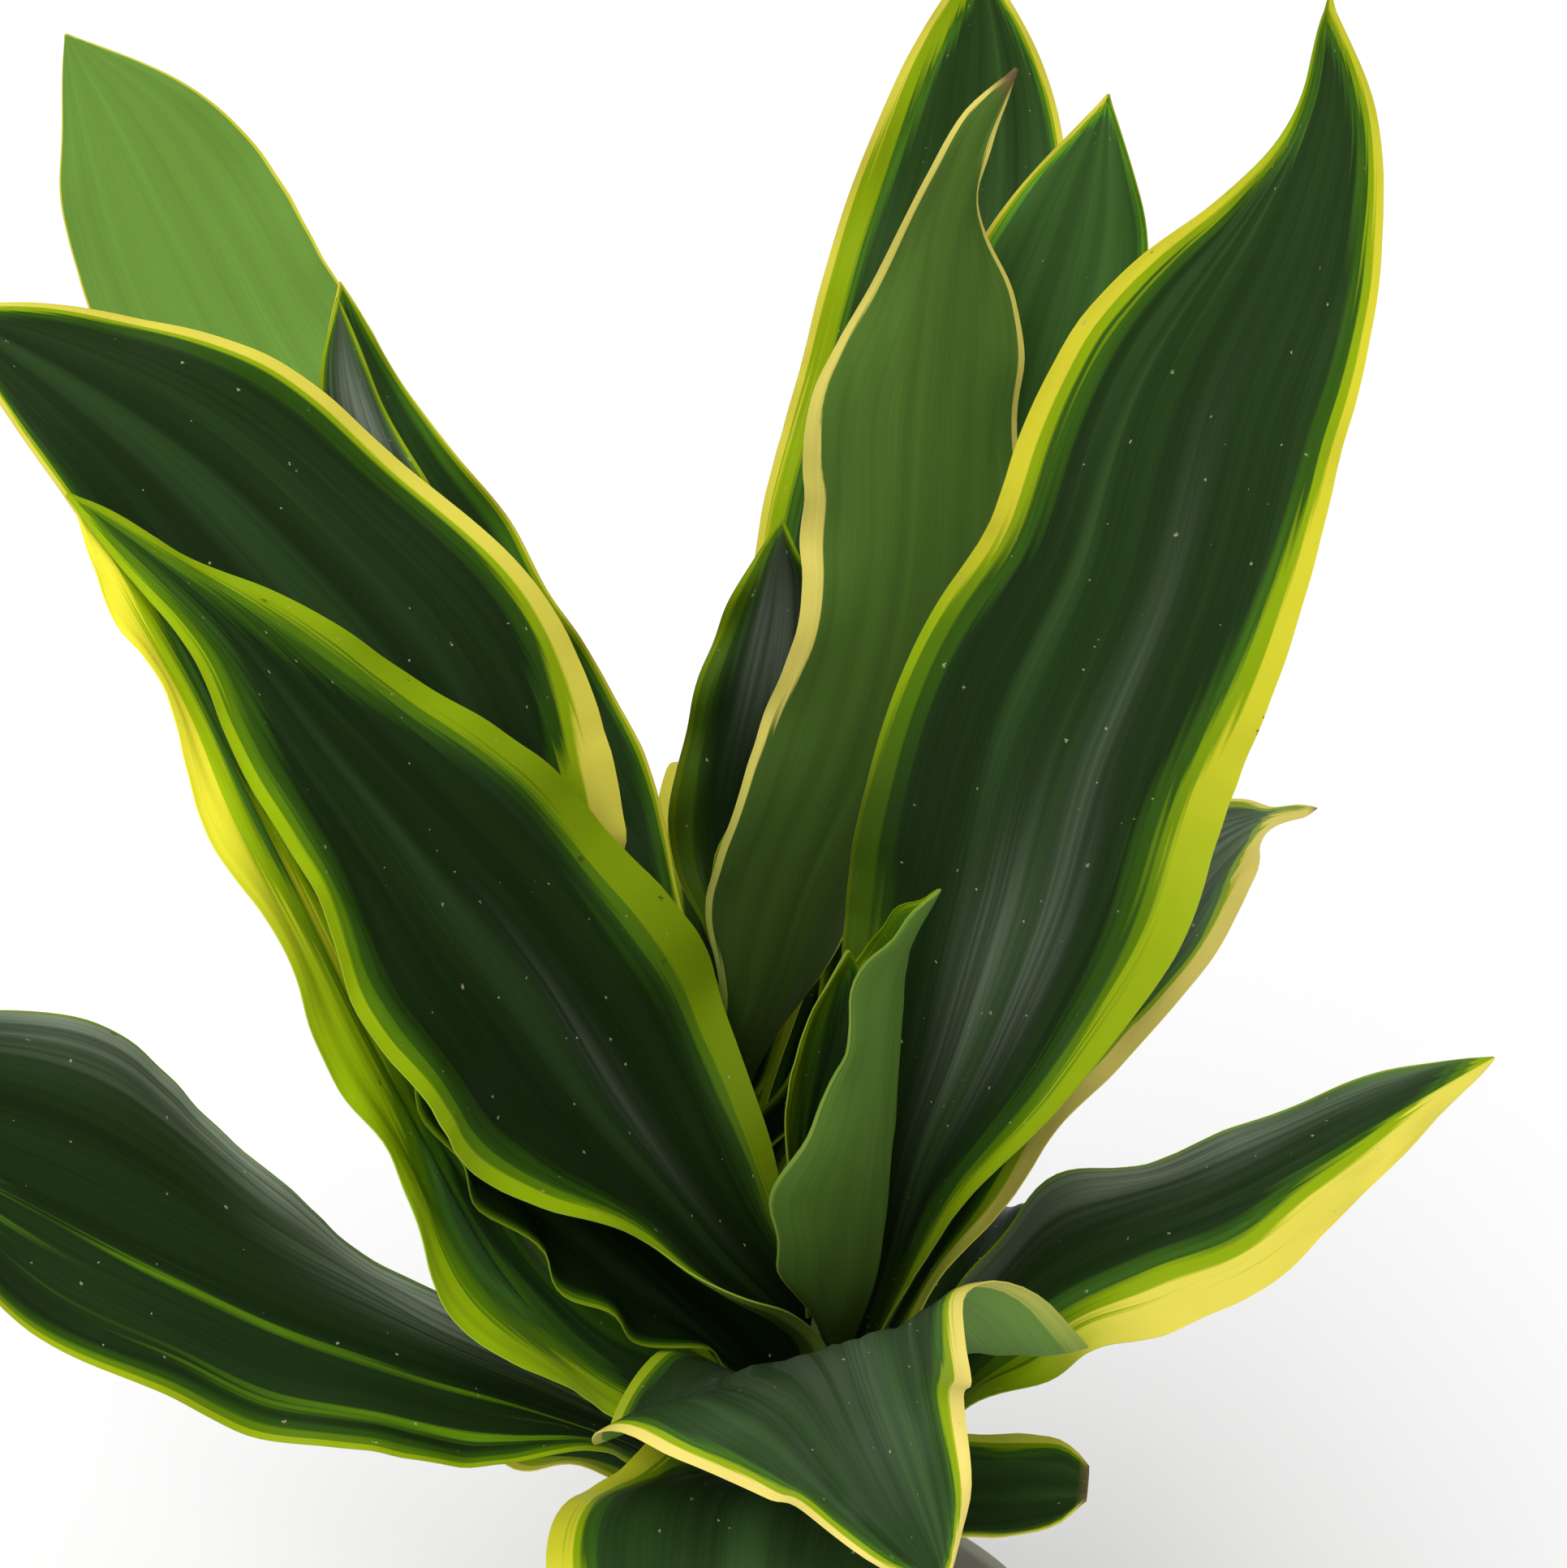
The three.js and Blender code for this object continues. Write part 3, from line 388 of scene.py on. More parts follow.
def smooth_line(points, row_length):
    """Even steps along a centripetal Catmull-Rom curve through the points, and its length."""
    points = np.asarray(points, float)
    points = np.vstack([2 * points[0] - points[1], points, 2 * points[-1] - points[-2]])
    fine = []
    for i in range(1, len(points) - 2):
        p0, p1, p2, p3 = points[i - 1:i + 3]
        t1 = np.linalg.norm(p1 - p0) ** 0.5
        t2 = t1 + np.linalg.norm(p2 - p1) ** 0.5
        t3 = t2 + np.linalg.norm(p3 - p2) ** 0.5
        t = np.linspace(t1, t2, SEGMENT_SAMPLES, endpoint=False)[:, None]
        middle = blend(t, t1, t2, p1, p2)
        before = blend(t, 0, t2, blend(t, 0, t1, p0, p1), middle)
        after = blend(t, t1, t3, middle, blend(t, t2, t3, p2, p3))
        fine.append(blend(t, t1, t2, before, after))
    fine.append(points[-2:-1])
    fine = np.vstack(fine)
    run = np.r_[0, np.cumsum(np.linalg.norm(np.diff(fine, axis=0), axis=1))]
    rows = ceil(run[-1] / row_length)
    even = np.linspace(0, run[-1], rows + 1)
    return np.stack([np.interp(even, run, fine[:, k]) for k in range(3)], -1), run[-1]


# Meshes

def add_object(name, data):
    made = bpy.data.objects.new(name, data)
    bpy.context.scene.collection.objects.link(made)
    return made


def mesh_object(name, corners, faces):
    """An object from corners in millimetres."""
    mesh = bpy.data.meshes.new(name)
    mesh.from_pydata((np.asarray(corners, float) * MM).tolist(), [], faces)
    return add_object(name, mesh)


def new_piece(name, corners, faces, node, material, fields=None):
    """A smooth mesh that rides on the part and stands for its CAD node. Its points carry the fields."""
    piece = mesh_object(name, corners, faces)
    mesh = piece.data
    mesh.update()
    for field, values in (fields or {}).items():
        kind, key = ("FLOAT", "value") if np.ndim(values) == 1 else ("FLOAT_VECTOR", "vector")
        attribute = mesh.attributes.new(field, kind, "POINT")
        attribute.data.foreach_set(key, np.asarray(values, np.float32).ravel())
    mesh.shade_smooth()
    mesh.set_sharp_from_angle(angle=radians(SHARP_ANGLE))
    mesh.materials.append(material)
    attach(piece, "root")
    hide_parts(node)
    return piece


def grid_faces(rows, columns, wrap=False):
    """Four-sided faces between the points of a grid, which may close on itself crosswise."""
    faces = []
    width = columns if wrap else columns + 1
    for row in range(rows):
        for column in range(columns):
            a = row * width + column
            b = row * width + (column + 1) % width
            faces.append((a, b, b + width, a + width))
    return faces


def turned(profile, sides, centre=(0, 0), change=None):
    """A body turned about an upright axis from (radius, height) points, closed at its two ends."""
    angle = np.linspace(0, TURN, sides, endpoint=False)
    radius, height = np.asarray(profile, float).T
    radius, height = (values[:, None] * np.ones(sides) for values in (radius, height))
    if change is not None:
        radius, height = change(radius, height, angle)
    x = centre[0] + radius * np.cos(angle)
    y = centre[1] + radius * np.sin(angle)
    corners = np.stack([x, y, height], -1).reshape(-1, 3)
    faces = grid_faces(len(profile) - 1, sides, wrap=True)
    last = len(corners)
    corners = np.vstack([corners, [*centre, height[0].mean()], [*centre, height[-1].mean()]])
    top = (len(profile) - 1) * sides
    for i in range(sides):
        j = (i + 1) % sides
        faces.append((j, i, last))
        faces.append((top + i, top + j, last + 1))
    return corners, faces


# Leaves

def width_share(leaf, share):
    """Share of the leaf's greatest width that it has at a share of its length."""
    inner = leaf.base + (1 - leaf.base) * smooth(share / leaf.peak)
    past = np.clip((share - leaf.peak) / (1 - leaf.peak), 0, 1)
    outer = np.maximum((1 - past ** leaf.fat) ** leaf.sharp, leaf.tip)
    return np.where(share < leaf.peak, inner, outer)


def cane_of(leaf):
    """The cane that a leaf sits on, which its name gives: leaf_front_01 sits on the front one."""
    return CANES[leaf.name.split("_")[1]]


def cane_radius(cane, height):
    share = np.clip((cane.top - height) / CANE_TAPER_LENGTH, 0, 1)
    return CANE_TIP_RADIUS + (CANE_RADIUS - CANE_TIP_RADIUS) * share ** CANE_TAPER_POWER


def half_thickness(share, off_midrib):
    thickened = np.clip(1 - share / BASE_THICK_SHARE, 0, 1)
    return HALF_THICKNESS + BASE_EXTRA_THICKNESS * thickened + MIDRIB_EXTRA_THICKNESS * (1 - off_midrib)


def seat_radius(leaf):
    """How far from the cane's axis the midrib starts."""
    radius = cane_radius(cane_of(leaf), leaf.height)
    out, up = leaf.route[0][:2]
    upright = abs(up) / hypot(out - radius, up)
    return radius + SEAT_GAP + half_thickness(0, 0) * upright


def midrib(leaf):
    """The midrib's even steps, its length, and at each step the ways across and out of the face."""
    cane = cane_of(leaf)
    angle = radians(leaf.azimuth)
    outward = np.array([cos(angle), sin(angle), 0])
    sideways = np.array([-sin(angle), cos(angle), 0])
    foot = np.array([cane.x, cane.y, leaf.height])
    route = [(seat_radius(leaf), 0, 0)] + [(*point, 0)[:3] for point in leaf.route]
    points = [foot + out * outward + side * sideways + np.array([0, 0, up]) for out, up, side in route]
    middle, length = smooth_line(points, ROW_LENGTH)
    way = unit(np.gradient(middle, axis=0))
    across = np.empty_like(middle)
    last = sideways
    for i, step in enumerate(way):
        last = unit(last - step * (last @ step))
        across[i] = last
    share = np.linspace(0, 1, len(middle))
    roll = np.radians(along(leaf.roll, share))[:, None]
    side = across * np.cos(roll) + np.cross(way, across) * np.sin(roll)
    return middle, length, share, side, np.cross(way, side)


def fold_lift(dice, share, u, across):
    """Height of the soft folds along the veins."""
    drift = FOLD_DRIFT * np.sin(TURN * share * dice.uniform(0.5, 1.1) + dice.uniform(0, 6))
    spacing = dice.uniform(*FOLD_SPACING)
    small = spacing * SMALL_FOLD_SPACING_SHARE
    folds = FOLD_HEIGHT * np.cos(TURN * (across + drift) / spacing)
    folds += SMALL_FOLD_HEIGHT * np.cos(TURN * (across - drift) / small + dice.uniform(0, 6))
    return away_from_ends(1, share, 0.1, 0.2) * smooth((1 - np.abs(u)) / 0.3) * folds


def ripple_lift(dice, length, share, u):
    """Height of the small ripples of the two margins."""
    ripple = np.zeros_like(u * share)
    for wavelength, height in RIPPLES:
        for way in (-1, 1):
            turn = TURN * share * length / wavelength * dice.uniform(0.85, 1.15) + dice.uniform(0, 6)
            swell = 0.5 + 0.5 * np.sin(TURN * share * dice.uniform(1, 2.5) + dice.uniform(0, 6))
            ripple += np.where(u * way > 0, height * swell * np.sin(turn), 0)
    return ripple * away_from_ends(np.abs(u) ** 5, share, 0.15, 0.08)


def fine_lift(dice, length, share, u, across):
    folds = fold_lift(dice, share, u, across)
    ripple = ripple_lift(dice, length, share, u)
    groove = GROOVE_DEPTH * np.exp(-(across / GROOVE_WIDTH) ** 2) * smooth((1 - share) / 0.3)
    return folds + ripple - groove


def blade(leaf, dice):
    """The blade's middle surface as a grid of points, with each point's share along and across."""
    middle, length, share, side, face = midrib(leaf)
    columns = np.array(COLUMN_SHARES)
    u = np.r_[-columns[:0:-1], columns][None, :]
    share = share[:, None]
    half = leaf.width / 2
    clasp = min(degrees(half * leaf.base / seat_radius(leaf)), MOST_CLASP)
    moved = np.where(u > 0, along(leaf.left, share), along(leaf.right, share))
    reach = np.maximum(half * width_share(leaf, share) + moved, half * leaf.tip)
    bend = np.radians(along([clasp, *leaf.cup], share))
    bend = np.where(np.abs(bend) < 1e-3, 1e-3, bend)
    radius = reach / bend
    phase = np.where(u > 0, leaf.phase[0], leaf.phase[1])
    waving = away_from_ends(leaf.wave, share, 0.25, 0.12) * smooth((np.abs(u) - 0.35) / 0.65)
    lift = waving * np.sin(TURN * leaf.waves * share + phase)
    lift = lift + fine_lift(dice, length, share, u, u * reach)
    flat = (radius * np.sin(bend * u))[..., None] * side[:, None]
    raised = (radius * (1 - np.cos(bend * u)) + lift)[..., None] * face[:, None]
    grid = middle[:, None] + flat + raised
    return grid, length, share, u, reach


def band_place(distance, widths):
    """How many colour bands lie between the margin and a point: 0 at the margin, 3 and more inside them."""
    place = np.zeros_like(distance)
    for width in widths:
        place = place + np.clip(distance / width, 0, 1)
        distance = distance - width
    return place + np.clip(distance, 0, None) / 3


def band_widths(bands, share):
    """The widths of the three bands at each share of the length."""
    rows = np.atleast_2d(bands).astype(float)
    if len(rows) == 1:
        rows = rows * np.array(BAND_SWELL)[:, None]
    return [along(column, share) for column in rows.T]


def leaf_fields(leaf, dice, length, share, u, reach):
    """What the leaf material reads at each point."""
    on_left = smooth((u + 0.2) / 0.4)
    bands = []
    streaks = np.zeros_like(reach * u)
    for widths, amount, way in zip(leaf.bands, leaf.streaks, (-1, 1)):
        swell = 1 + 0.2 * np.sin(TURN * share * dice.uniform(1, 2.5) + dice.uniform(0, 6))
        distance = reach * (1 + way * u) / swell
        bands.append(band_place(distance, band_widths(widths, share)))
        inside = smooth(distance / 3) * smooth((leaf.reach - distance) / (leaf.reach * 0.5))
        streaks = np.maximum(streaks, amount * inside)

    def each_side(left, right):
        return left * on_left + right * (1 - on_left)

    def three(*values):
        return np.stack([np.broadcast_to(value, streaks.shape) for value in values], -1)

    ripe = each_side(*[along(values, share) for values in leaf.ripe])
    gloss = each_side(*leaf.gloss) * smooth(share / 0.25)
    # Painted shade that darkens each leaf towards the cane, times the leaf's painted brightening
    light = leaf.light * (FOOT_LIGHT + (1 - FOOT_LIGHT) * smooth(share / FOOT_SHARE))
    dry = smooth((share - 1 + leaf.dry) / DRY_BORDER) if leaf.dry else 0
    # Painted sheen: grey patches that stand in for reflections of the light
    painted_sheen = sum(
        strength * np.exp(-((share - at) / along_reach) ** 2 - ((u - side) / side_reach) ** 2)
        for at, side, along_reach, side_reach, strength in leaf.painted_sheen
    )
    return {
        "place": three(u * leaf.width / 2, share * length, dice.uniform(0, 900)),
        "band": three(*bands, streaks),
        # The lower face's brightness is partly painted shade and a painted glow of light shining through
        "tint": three(leaf.cream, along(leaf.tone, share), along(leaf.lower_tone_and_painted_light, share)),
        "skin": three(ripe, gloss, leaf.soft),
        "wear": three(dry, painted_sheen, light),
    }


def shell(grid, half):
    """A closed sheet around a grid of points: its upper face, its lower face and the rim between them."""
    down = unit(np.cross(np.gradient(grid, axis=1), np.gradient(grid, axis=0)))
    rows, columns = grid.shape[0] - 1, grid.shape[1] - 1
    width = columns + 1
    count = (rows + 1) * width
    corners = np.vstack([(grid - down * half).reshape(-1, 3), (grid + down * half).reshape(-1, 3)])
    upper = grid_faces(rows, columns)
    lower = [tuple(count + corner for corner in reversed(face)) for face in upper]
    rim = [*range(columns), *range(columns, count - 1, width), *range(count - 1, count - width, -1)]
    rim += list(range(count - width, 0, -width))
    edge = [(a, a + count, b + count, b) for a, b in zip(rim, rim[1:] + rim[:1])]
    return corners, upper + lower + edge


def make_leaf(name, line, material):
    leaf = SimpleNamespace(name=name, **{**LEAF_DEFAULTS, **line})
    dice = np.random.default_rng(sum(map(ord, name)) * 31)
    grid, length, share, u, reach = blade(leaf, dice)
    fields = leaf_fields(leaf, dice, length, share, u, reach)
    off = np.abs(u)
    thin = 1 - RIM_THINNING * smooth((off - (1 - RIM_SHARE)) / RIM_SHARE)
    corners, faces = shell(grid, (half_thickness(share, off) * thin)[..., None])
    points = {field: np.vstack([values.reshape(-1, 3)] * 2) for field, values in fields.items()}
    points["upper"] = np.repeat((1, 0), len(corners) // 2)
    new_piece(name + "_blade", corners, faces, name, material, points)


# Pot, soil and canes

def inner_radius(height):
    """Radius of the pot's inner wall at a height."""
    share = (height - POT_FLOOR) / (POT_HEIGHT - POT_FLOOR)
    return POT_INNER_FOOT_RADIUS + (POT_INNER_RIM_RADIUS - POT_INNER_FOOT_RADIUS) * share


def rounded(profile, radius, steps=4):
    """The profile with each inner corner rounded by an arc of about that radius."""
    profile = [np.array(point, float) for point in profile]
    line = [profile[0]]
    for before, corner, after in zip(profile, profile[1:], profile[2:]):
        room = min(radius, np.linalg.norm(before - corner) / 2.2, np.linalg.norm(after - corner) / 2.2)
        start = corner + unit(before - corner) * room
        end = corner + unit(after - corner) * room
        for t in np.linspace(0, 1, steps + 1):
            line.append((1 - t) ** 2 * start + 2 * t * (1 - t) * corner + t * t * end)
    line.append(profile[-1])
    return line


def cut(piece, cutters):
    """Takes closed bodies away from a piece for good."""
    for cutter in cutters:
        change = piece.modifiers.new("cut", "BOOLEAN")
        change.operation = "DIFFERENCE"
        change.solver = "EXACT"
        change.object = cutter
    graph = bpy.context.evaluated_depsgraph_get()
    mesh = bpy.data.meshes.new_from_object(piece.evaluated_get(graph))
    piece.modifiers.clear()
    piece.data = mesh
    for cutter in cutters:
        bpy.data.objects.remove(cutter)


def rod(x, y, low, high, radius, sides=48):
    """A plain upright rod to cut with."""
    return mesh_object("rod", *turned([(radius, low), (radius, high)], sides, (x, y)))


def make_pot(material):
    band = POT_HEIGHT - POT_BAND_HEIGHT
    below_rim = POT_HEIGHT - POT_RIM_STEP
    outline = [
        (NEAR_AXIS, 0), (POT_FOOT_RADIUS - POT_FOOT_STEP, 0), (POT_FOOT_RADIUS, 0), (POT_NECK_RADIUS, band),
        (POT_BAND_RADIUS, band), (POT_RIM_RADIUS, POT_HEIGHT), (POT_INNER_RIM_RADIUS, POT_HEIGHT),
        (inner_radius(below_rim), below_rim), (POT_INNER_FOOT_RADIUS, POT_FLOOR), (NEAR_AXIS, POT_FLOOR),
    ]
    corners, faces = turned(rounded(outline, POT_ROUNDING), POT_SIDES)
    pot = new_piece("pot_shell", corners, faces, "pot", material)
    angles = [TURN * i / DRAIN_HOLES for i in range(DRAIN_HOLES)]
    ring = [(DRAIN_CIRCLE_RADIUS * cos(a), DRAIN_CIRCLE_RADIUS * sin(a)) for a in angles]
    cut(pot, [rod(x, y, -1, POT_FLOOR + 1, DRAIN_RADIUS) for x, y in ring])


def soil_height(x, y):
    """The soil's uneven top at a place in the pot."""
    radius = np.hypot(x, y) / inner_radius(SOIL_EDGE_HEIGHT)
    mound = SOIL_MIDDLE_HEIGHT - (SOIL_MIDDLE_HEIGHT - SOIL_EDGE_HEIGHT) * smooth(radius) ** 0.7
    lumps = 0.7 * np.sin(x / 5.1 + 1) * np.cos(y / 4.3) + 0.4 * np.sin(x / 2.3 + y / 3.1 + 2)
    return mound - SOIL_SETTLED + lumps * (1 - smooth((radius - 0.8) / 0.2))


def make_soil(material):
    """A filled body with an uneven top, cut round the canes."""
    edge = inner_radius(SOIL_EDGE_HEIGHT) - GAP
    low = POT_FLOOR + GAP
    rings = np.linspace(1, 0.02, SOIL_RINGS)
    profile = [(inner_radius(low) - GAP, low)] + [(edge * ring, SOIL_EDGE_HEIGHT) for ring in rings]

    def uneven(radius, height, angle):
        height = height.copy()
        height[1:] = soil_height(radius[1:] * np.cos(angle), radius[1:] * np.sin(angle))
        return radius, height

    corners, faces = turned(profile, POT_SIDES, change=uneven)
    corners[-1, 2] = soil_height(0, 0)
    soil = new_piece("soil_body", corners, faces, "soil", material)
    cut(soil, [
        rod(cane.x, cane.y, CANE_FOOT_HEIGHT - GAP, POT_HEIGHT, CANE_RADIUS + GAP, CANE_SIDES)
        for cane in CANES.values()
    ])


def crumb_places(dice):
    """Where each crumb lies, clear of the canes and the pot, and its size."""
    edge = inner_radius(SOIL_EDGE_HEIGHT) - GAP
    crumbs = []
    while len(crumbs) < CRUMBS:
        reach = edge * sqrt(dice.random()) * 0.98
        turn = dice.uniform(0, TURN)
        size = CRUMB_LEAST + CRUMB_SPREAD * dice.random() ** 2.5
        x, y = reach * cos(turn), reach * sin(turn)
        room = min(hypot(x - cane.x, y - cane.y) for cane in CANES.values())
        if room > CANE_RADIUS + size * 1.5 and reach < edge - size * 1.5:
            crumbs.append((x, y, size))
    return crumbs


def spun(points, angle):
    """The points turned about the upright axis."""
    x, y, z = points.T
    c, s = cos(angle), sin(angle)
    return np.stack([x * c - y * s, x * s + y * c, z], -1)


def make_crumbs(material):
    """Loose crumbs of bark and peat: small uneven lumps that lie on the soil."""
    dice = np.random.default_rng(5)
    crumbs = crumb_places(dice)
    bpy.ops.mesh.primitive_ico_sphere_add(subdivisions=2, radius=1)
    ball = bpy.context.object
    shape = np.array([tuple(v.co) for v in ball.data.vertices])
    sides = [tuple(face.vertices) for face in ball.data.polygons]
    bpy.data.objects.remove(ball)
    corners = []
    faces = []
    shade = []
    for i, (x, y, size) in enumerate(crumbs):
        rough = shape * (1 + CRUMB_ROUGHNESS * dice.standard_normal((len(shape), 1)))
        lump = rough * (size * dice.uniform((0.7, 0.6, 0.4), (1.4, 1.0, 0.8)))
        turn = dice.uniform(0, TURN)
        corners.append(spun(lump, turn) + (x, y, soil_height(x, y) + 0.25 * size))
        faces += [tuple(corner + i * len(shape) for corner in side) for side in sides]
        shade.append(np.full(len(shape), dice.random()))
    fields = {"shade": np.concatenate(shade)}
    new_piece("soil_crumbs", np.vstack(corners), faces, "soil", material, fields)


def cane_scars(dice, cane):
    """For each old leaf's scar its height, the way that it leans, and how much."""
    scars = []
    height = SOIL_EDGE_HEIGHT - 6
    while height < cane.top - 4:
        scars.append((height, dice.uniform(0, 6), dice.uniform(*SCAR_TILT)))
        height += dice.uniform(*SCAR_SPACING)
    return scars


def make_cane(name, material):
    """A woody cane with a raised scar where each old leaf sat."""
    cane = CANES[name]
    scars = cane_scars(np.random.default_rng(len(name)), cane)
    heights = np.r_[np.arange(CANE_FOOT_HEIGHT, cane.top - CANE_STEP / 2, CANE_STEP), cane.top]
    profile = [(cane_radius(cane, height), height) for height in heights]

    def bump(off, size):
        return size[0] * np.exp(-(off / size[1]) ** 2)

    def scarred(radius, height, angle):
        relief = 0.12 * np.sin(3 * angle + height / 9) + 0.08 * np.sin(7 * angle - height / 5)
        for place, turn, tilt in scars:
            off = height - place - tilt * np.sin(angle + turn)
            relief += bump(off, SCAR_RIDGE) - bump(off - SCAR_GROOVE_ABOVE, SCAR_GROOVE)
        calm = smooth((height - CANE_FOOT_HEIGHT) / 6)
        return radius + np.clip(relief, BARK_LOWEST, BARK_HIGHEST) * calm, height

    corners, faces = turned(profile, CANE_SIDES, (cane.x, cane.y), scarred)
    new_piece(f"cane_{name}_bark", corners, faces, f"cane_{name}", material)


# Materials

class Painter:
    """Builds one procedural material's nodes."""

    def __init__(self, name):
        self.material = bpy.data.materials.new(name)
        self.material.use_nodes = True
        self.tree = self.material.node_tree
        self.tree.nodes.clear()

    def node(self, kind, settings=None, **inputs):
        made = self.tree.nodes.new("ShaderNode" + kind)
        for key, value in (settings or {}).items():
            setattr(made, key, value)
        for key, value in inputs.items():
            self.put(made.inputs[key.replace("_", " ")], value)
        return made

    def put(self, socket, value):
        if isinstance(value, bpy.types.NodeSocket):
            self.tree.links.new(value, socket)
        else:
            socket.default_value = value

    def calculate(self, operation, *values):
        made = self.node("Math", {"operation": operation})
        for socket, value in zip(made.inputs, values):
            self.put(socket, value)
        return made.outputs[0]

    def plus(self, first, second):
        return self.calculate("ADD", first, second)

    def minus(self, first, second):
        return self.calculate("SUBTRACT", first, second)

    def times(self, product, *others):
        for value in others:
            product = self.calculate("MULTIPLY", product, value)
        return product

    def ease(self, value, low, high, start=0.0, end=1.0):
        """value moved from low..high to start..end, eased and kept inside."""
        made = self.node("MapRange", {"interpolation_type": "SMOOTHSTEP"})
        for socket, number in zip(made.inputs, (value, low, high, start, end)):
            self.put(socket, number)
        return made.outputs[0]

    def vary(self, noise, start, end):
        """A noise that swings from start to end."""
        return self.ease(noise, 0.3, 0.7, start, end)

    def mix(self, share, first, second, blend="MIX"):
        made = self.node("Mix", {"data_type": "RGBA", "blend_type": blend})
        self.put(made.inputs[0], share)
        self.put(made.inputs[6], first)
        self.put(made.inputs[7], second)
        return made.outputs[2]

    def shaded(self, colour, brightness):
        return self.mix(1.0, colour, self.vector(brightness, brightness, brightness), "MULTIPLY")

    def field(self, name, output="Fac"):
        return self.node("Attribute", {"attribute_name": name}).outputs[output]

    def fields(self, name):
        """The three numbers of a field."""
        return self.split(self.field(name, "Vector"))

    def place(self):
        """Where a point lies on the piece, in metres."""
        return self.node("TexCoord").outputs["Object"]

    def split(self, vector):
        return self.node("SeparateXYZ", Vector=vector).outputs

    def vector(self, x, y, z):
        return self.node("CombineXYZ", X=x, Y=y, Z=z).outputs[0]

    def scaled(self, axes, *scales):
        return self.vector(*map(self.times, axes, scales))

    def noise(self, vector, scale, detail=2.0, roughness=0.5):
        made = self.node("TexNoise", Vector=vector, Scale=scale, Detail=detail, Roughness=roughness)
        return made.outputs["Fac"]

    def ramp(self, value, stops):
        made = self.node("ValToRGB", Fac=value)
        band = made.color_ramp
        while len(band.elements) < len(stops):
            band.elements.new(1)
        for element, (place, colour) in zip(band.elements, stops):
            element.position = place
            element.color = colour
        return made.outputs[0]

    def bump(self, height, strength, depth):
        made = self.node("Bump", Strength=strength, Distance=depth * MM, Height=height)
        return made.outputs[0]

    def finish(self, colour, rough, **inputs):
        shader = self.node("BsdfPrincipled", Base_Color=colour, Roughness=rough, **inputs)
        end = self.node("OutputMaterial")
        self.tree.links.new(shader.outputs[0], end.inputs[0])
        return self.material


def paint(red, green, blue):
    """A colour given in screen values from 0 to 255, as the shader reads it."""
    values = [value / 255 for value in (red, green, blue)]
    return (*[v / 12.92 if v < 0.04045 else ((v + 0.055) / 1.055) ** 2.4 for v in values], 1)


DARK = paint(26, 44, 16)
FERN = paint(36, 60, 14)
MOSS = paint(62, 88, 16)
OLIVE = paint(80, 98, 9)
GREEN = paint(46, 78, 16)
PALE_STREAK = paint(48, 72, 36)
GRASS = paint(80, 114, 12)
STREAK = paint(92, 134, 8)
LIME = paint(140, 166, 12)
YELLOW = paint(210, 204, 36)
CREAM = paint(236, 217, 116)
UNDERSIDE = paint(89, 123, 48)
UNDERSIDE_LIME = paint(126, 150, 60)
WITHERED = paint(116, 98, 66)
DUST = paint(176, 166, 138)
# Grey of the painted sheen that stands in for reflections
PAINTED_SHEEN_GREY = paint(150, 162, 144)
BROWN_SPOT = paint(66, 56, 20)


class LeafPainter(Painter):
    """Reads what each point of a leaf carries. band counts the colour bands from the nearest margin."""

    def __init__(self, name):
        super().__init__(name)
        self.across, self.run, self.seed = self.fields("place")
        self.left, self.right, self.streaks = self.fields("band")
        self.cream, self.tone, self.lower_tone_and_painted_light = self.fields("tint")
        self.ripe, self.gloss, self.soft = self.fields("skin")
        self.dry, self.painted_sheen, self.light = self.fields("wear")
        self.upper = self.field("upper")
        self.veins = self.grain(1.4, 0.008, 3.0, 0.6)
        self.broad = self.grain(0.13, 0.004)
        nearest = self.calculate("MINIMUM", self.left, self.right)
        fray = self.times(self.minus(self.grain(0.5, 0.007, 3.0, 0.55), 0.5), 2.1)
        self.band = self.calculate("MULTIPLY_ADD", fray, self.ease(nearest, 0.1, 0.9), nearest)

    def grain(self, across_scale, run_scale, detail=2.0, roughness=0.5):
        """Noise drawn out along the leaf."""
        x = self.times(self.across, across_scale)
        y = self.times(self.run, run_scale)
        return self.noise(self.vector(x, y, self.seed), 1.0, detail, roughness)

    def banded(self, first, second, third):
        return self.ramp(self.times(self.band, 0.25), (
            (0, first), (0.2, first), (0.27, second), (0.44, second),
            (0.56, third), (0.68, third), (0.86, DARK),
        ))


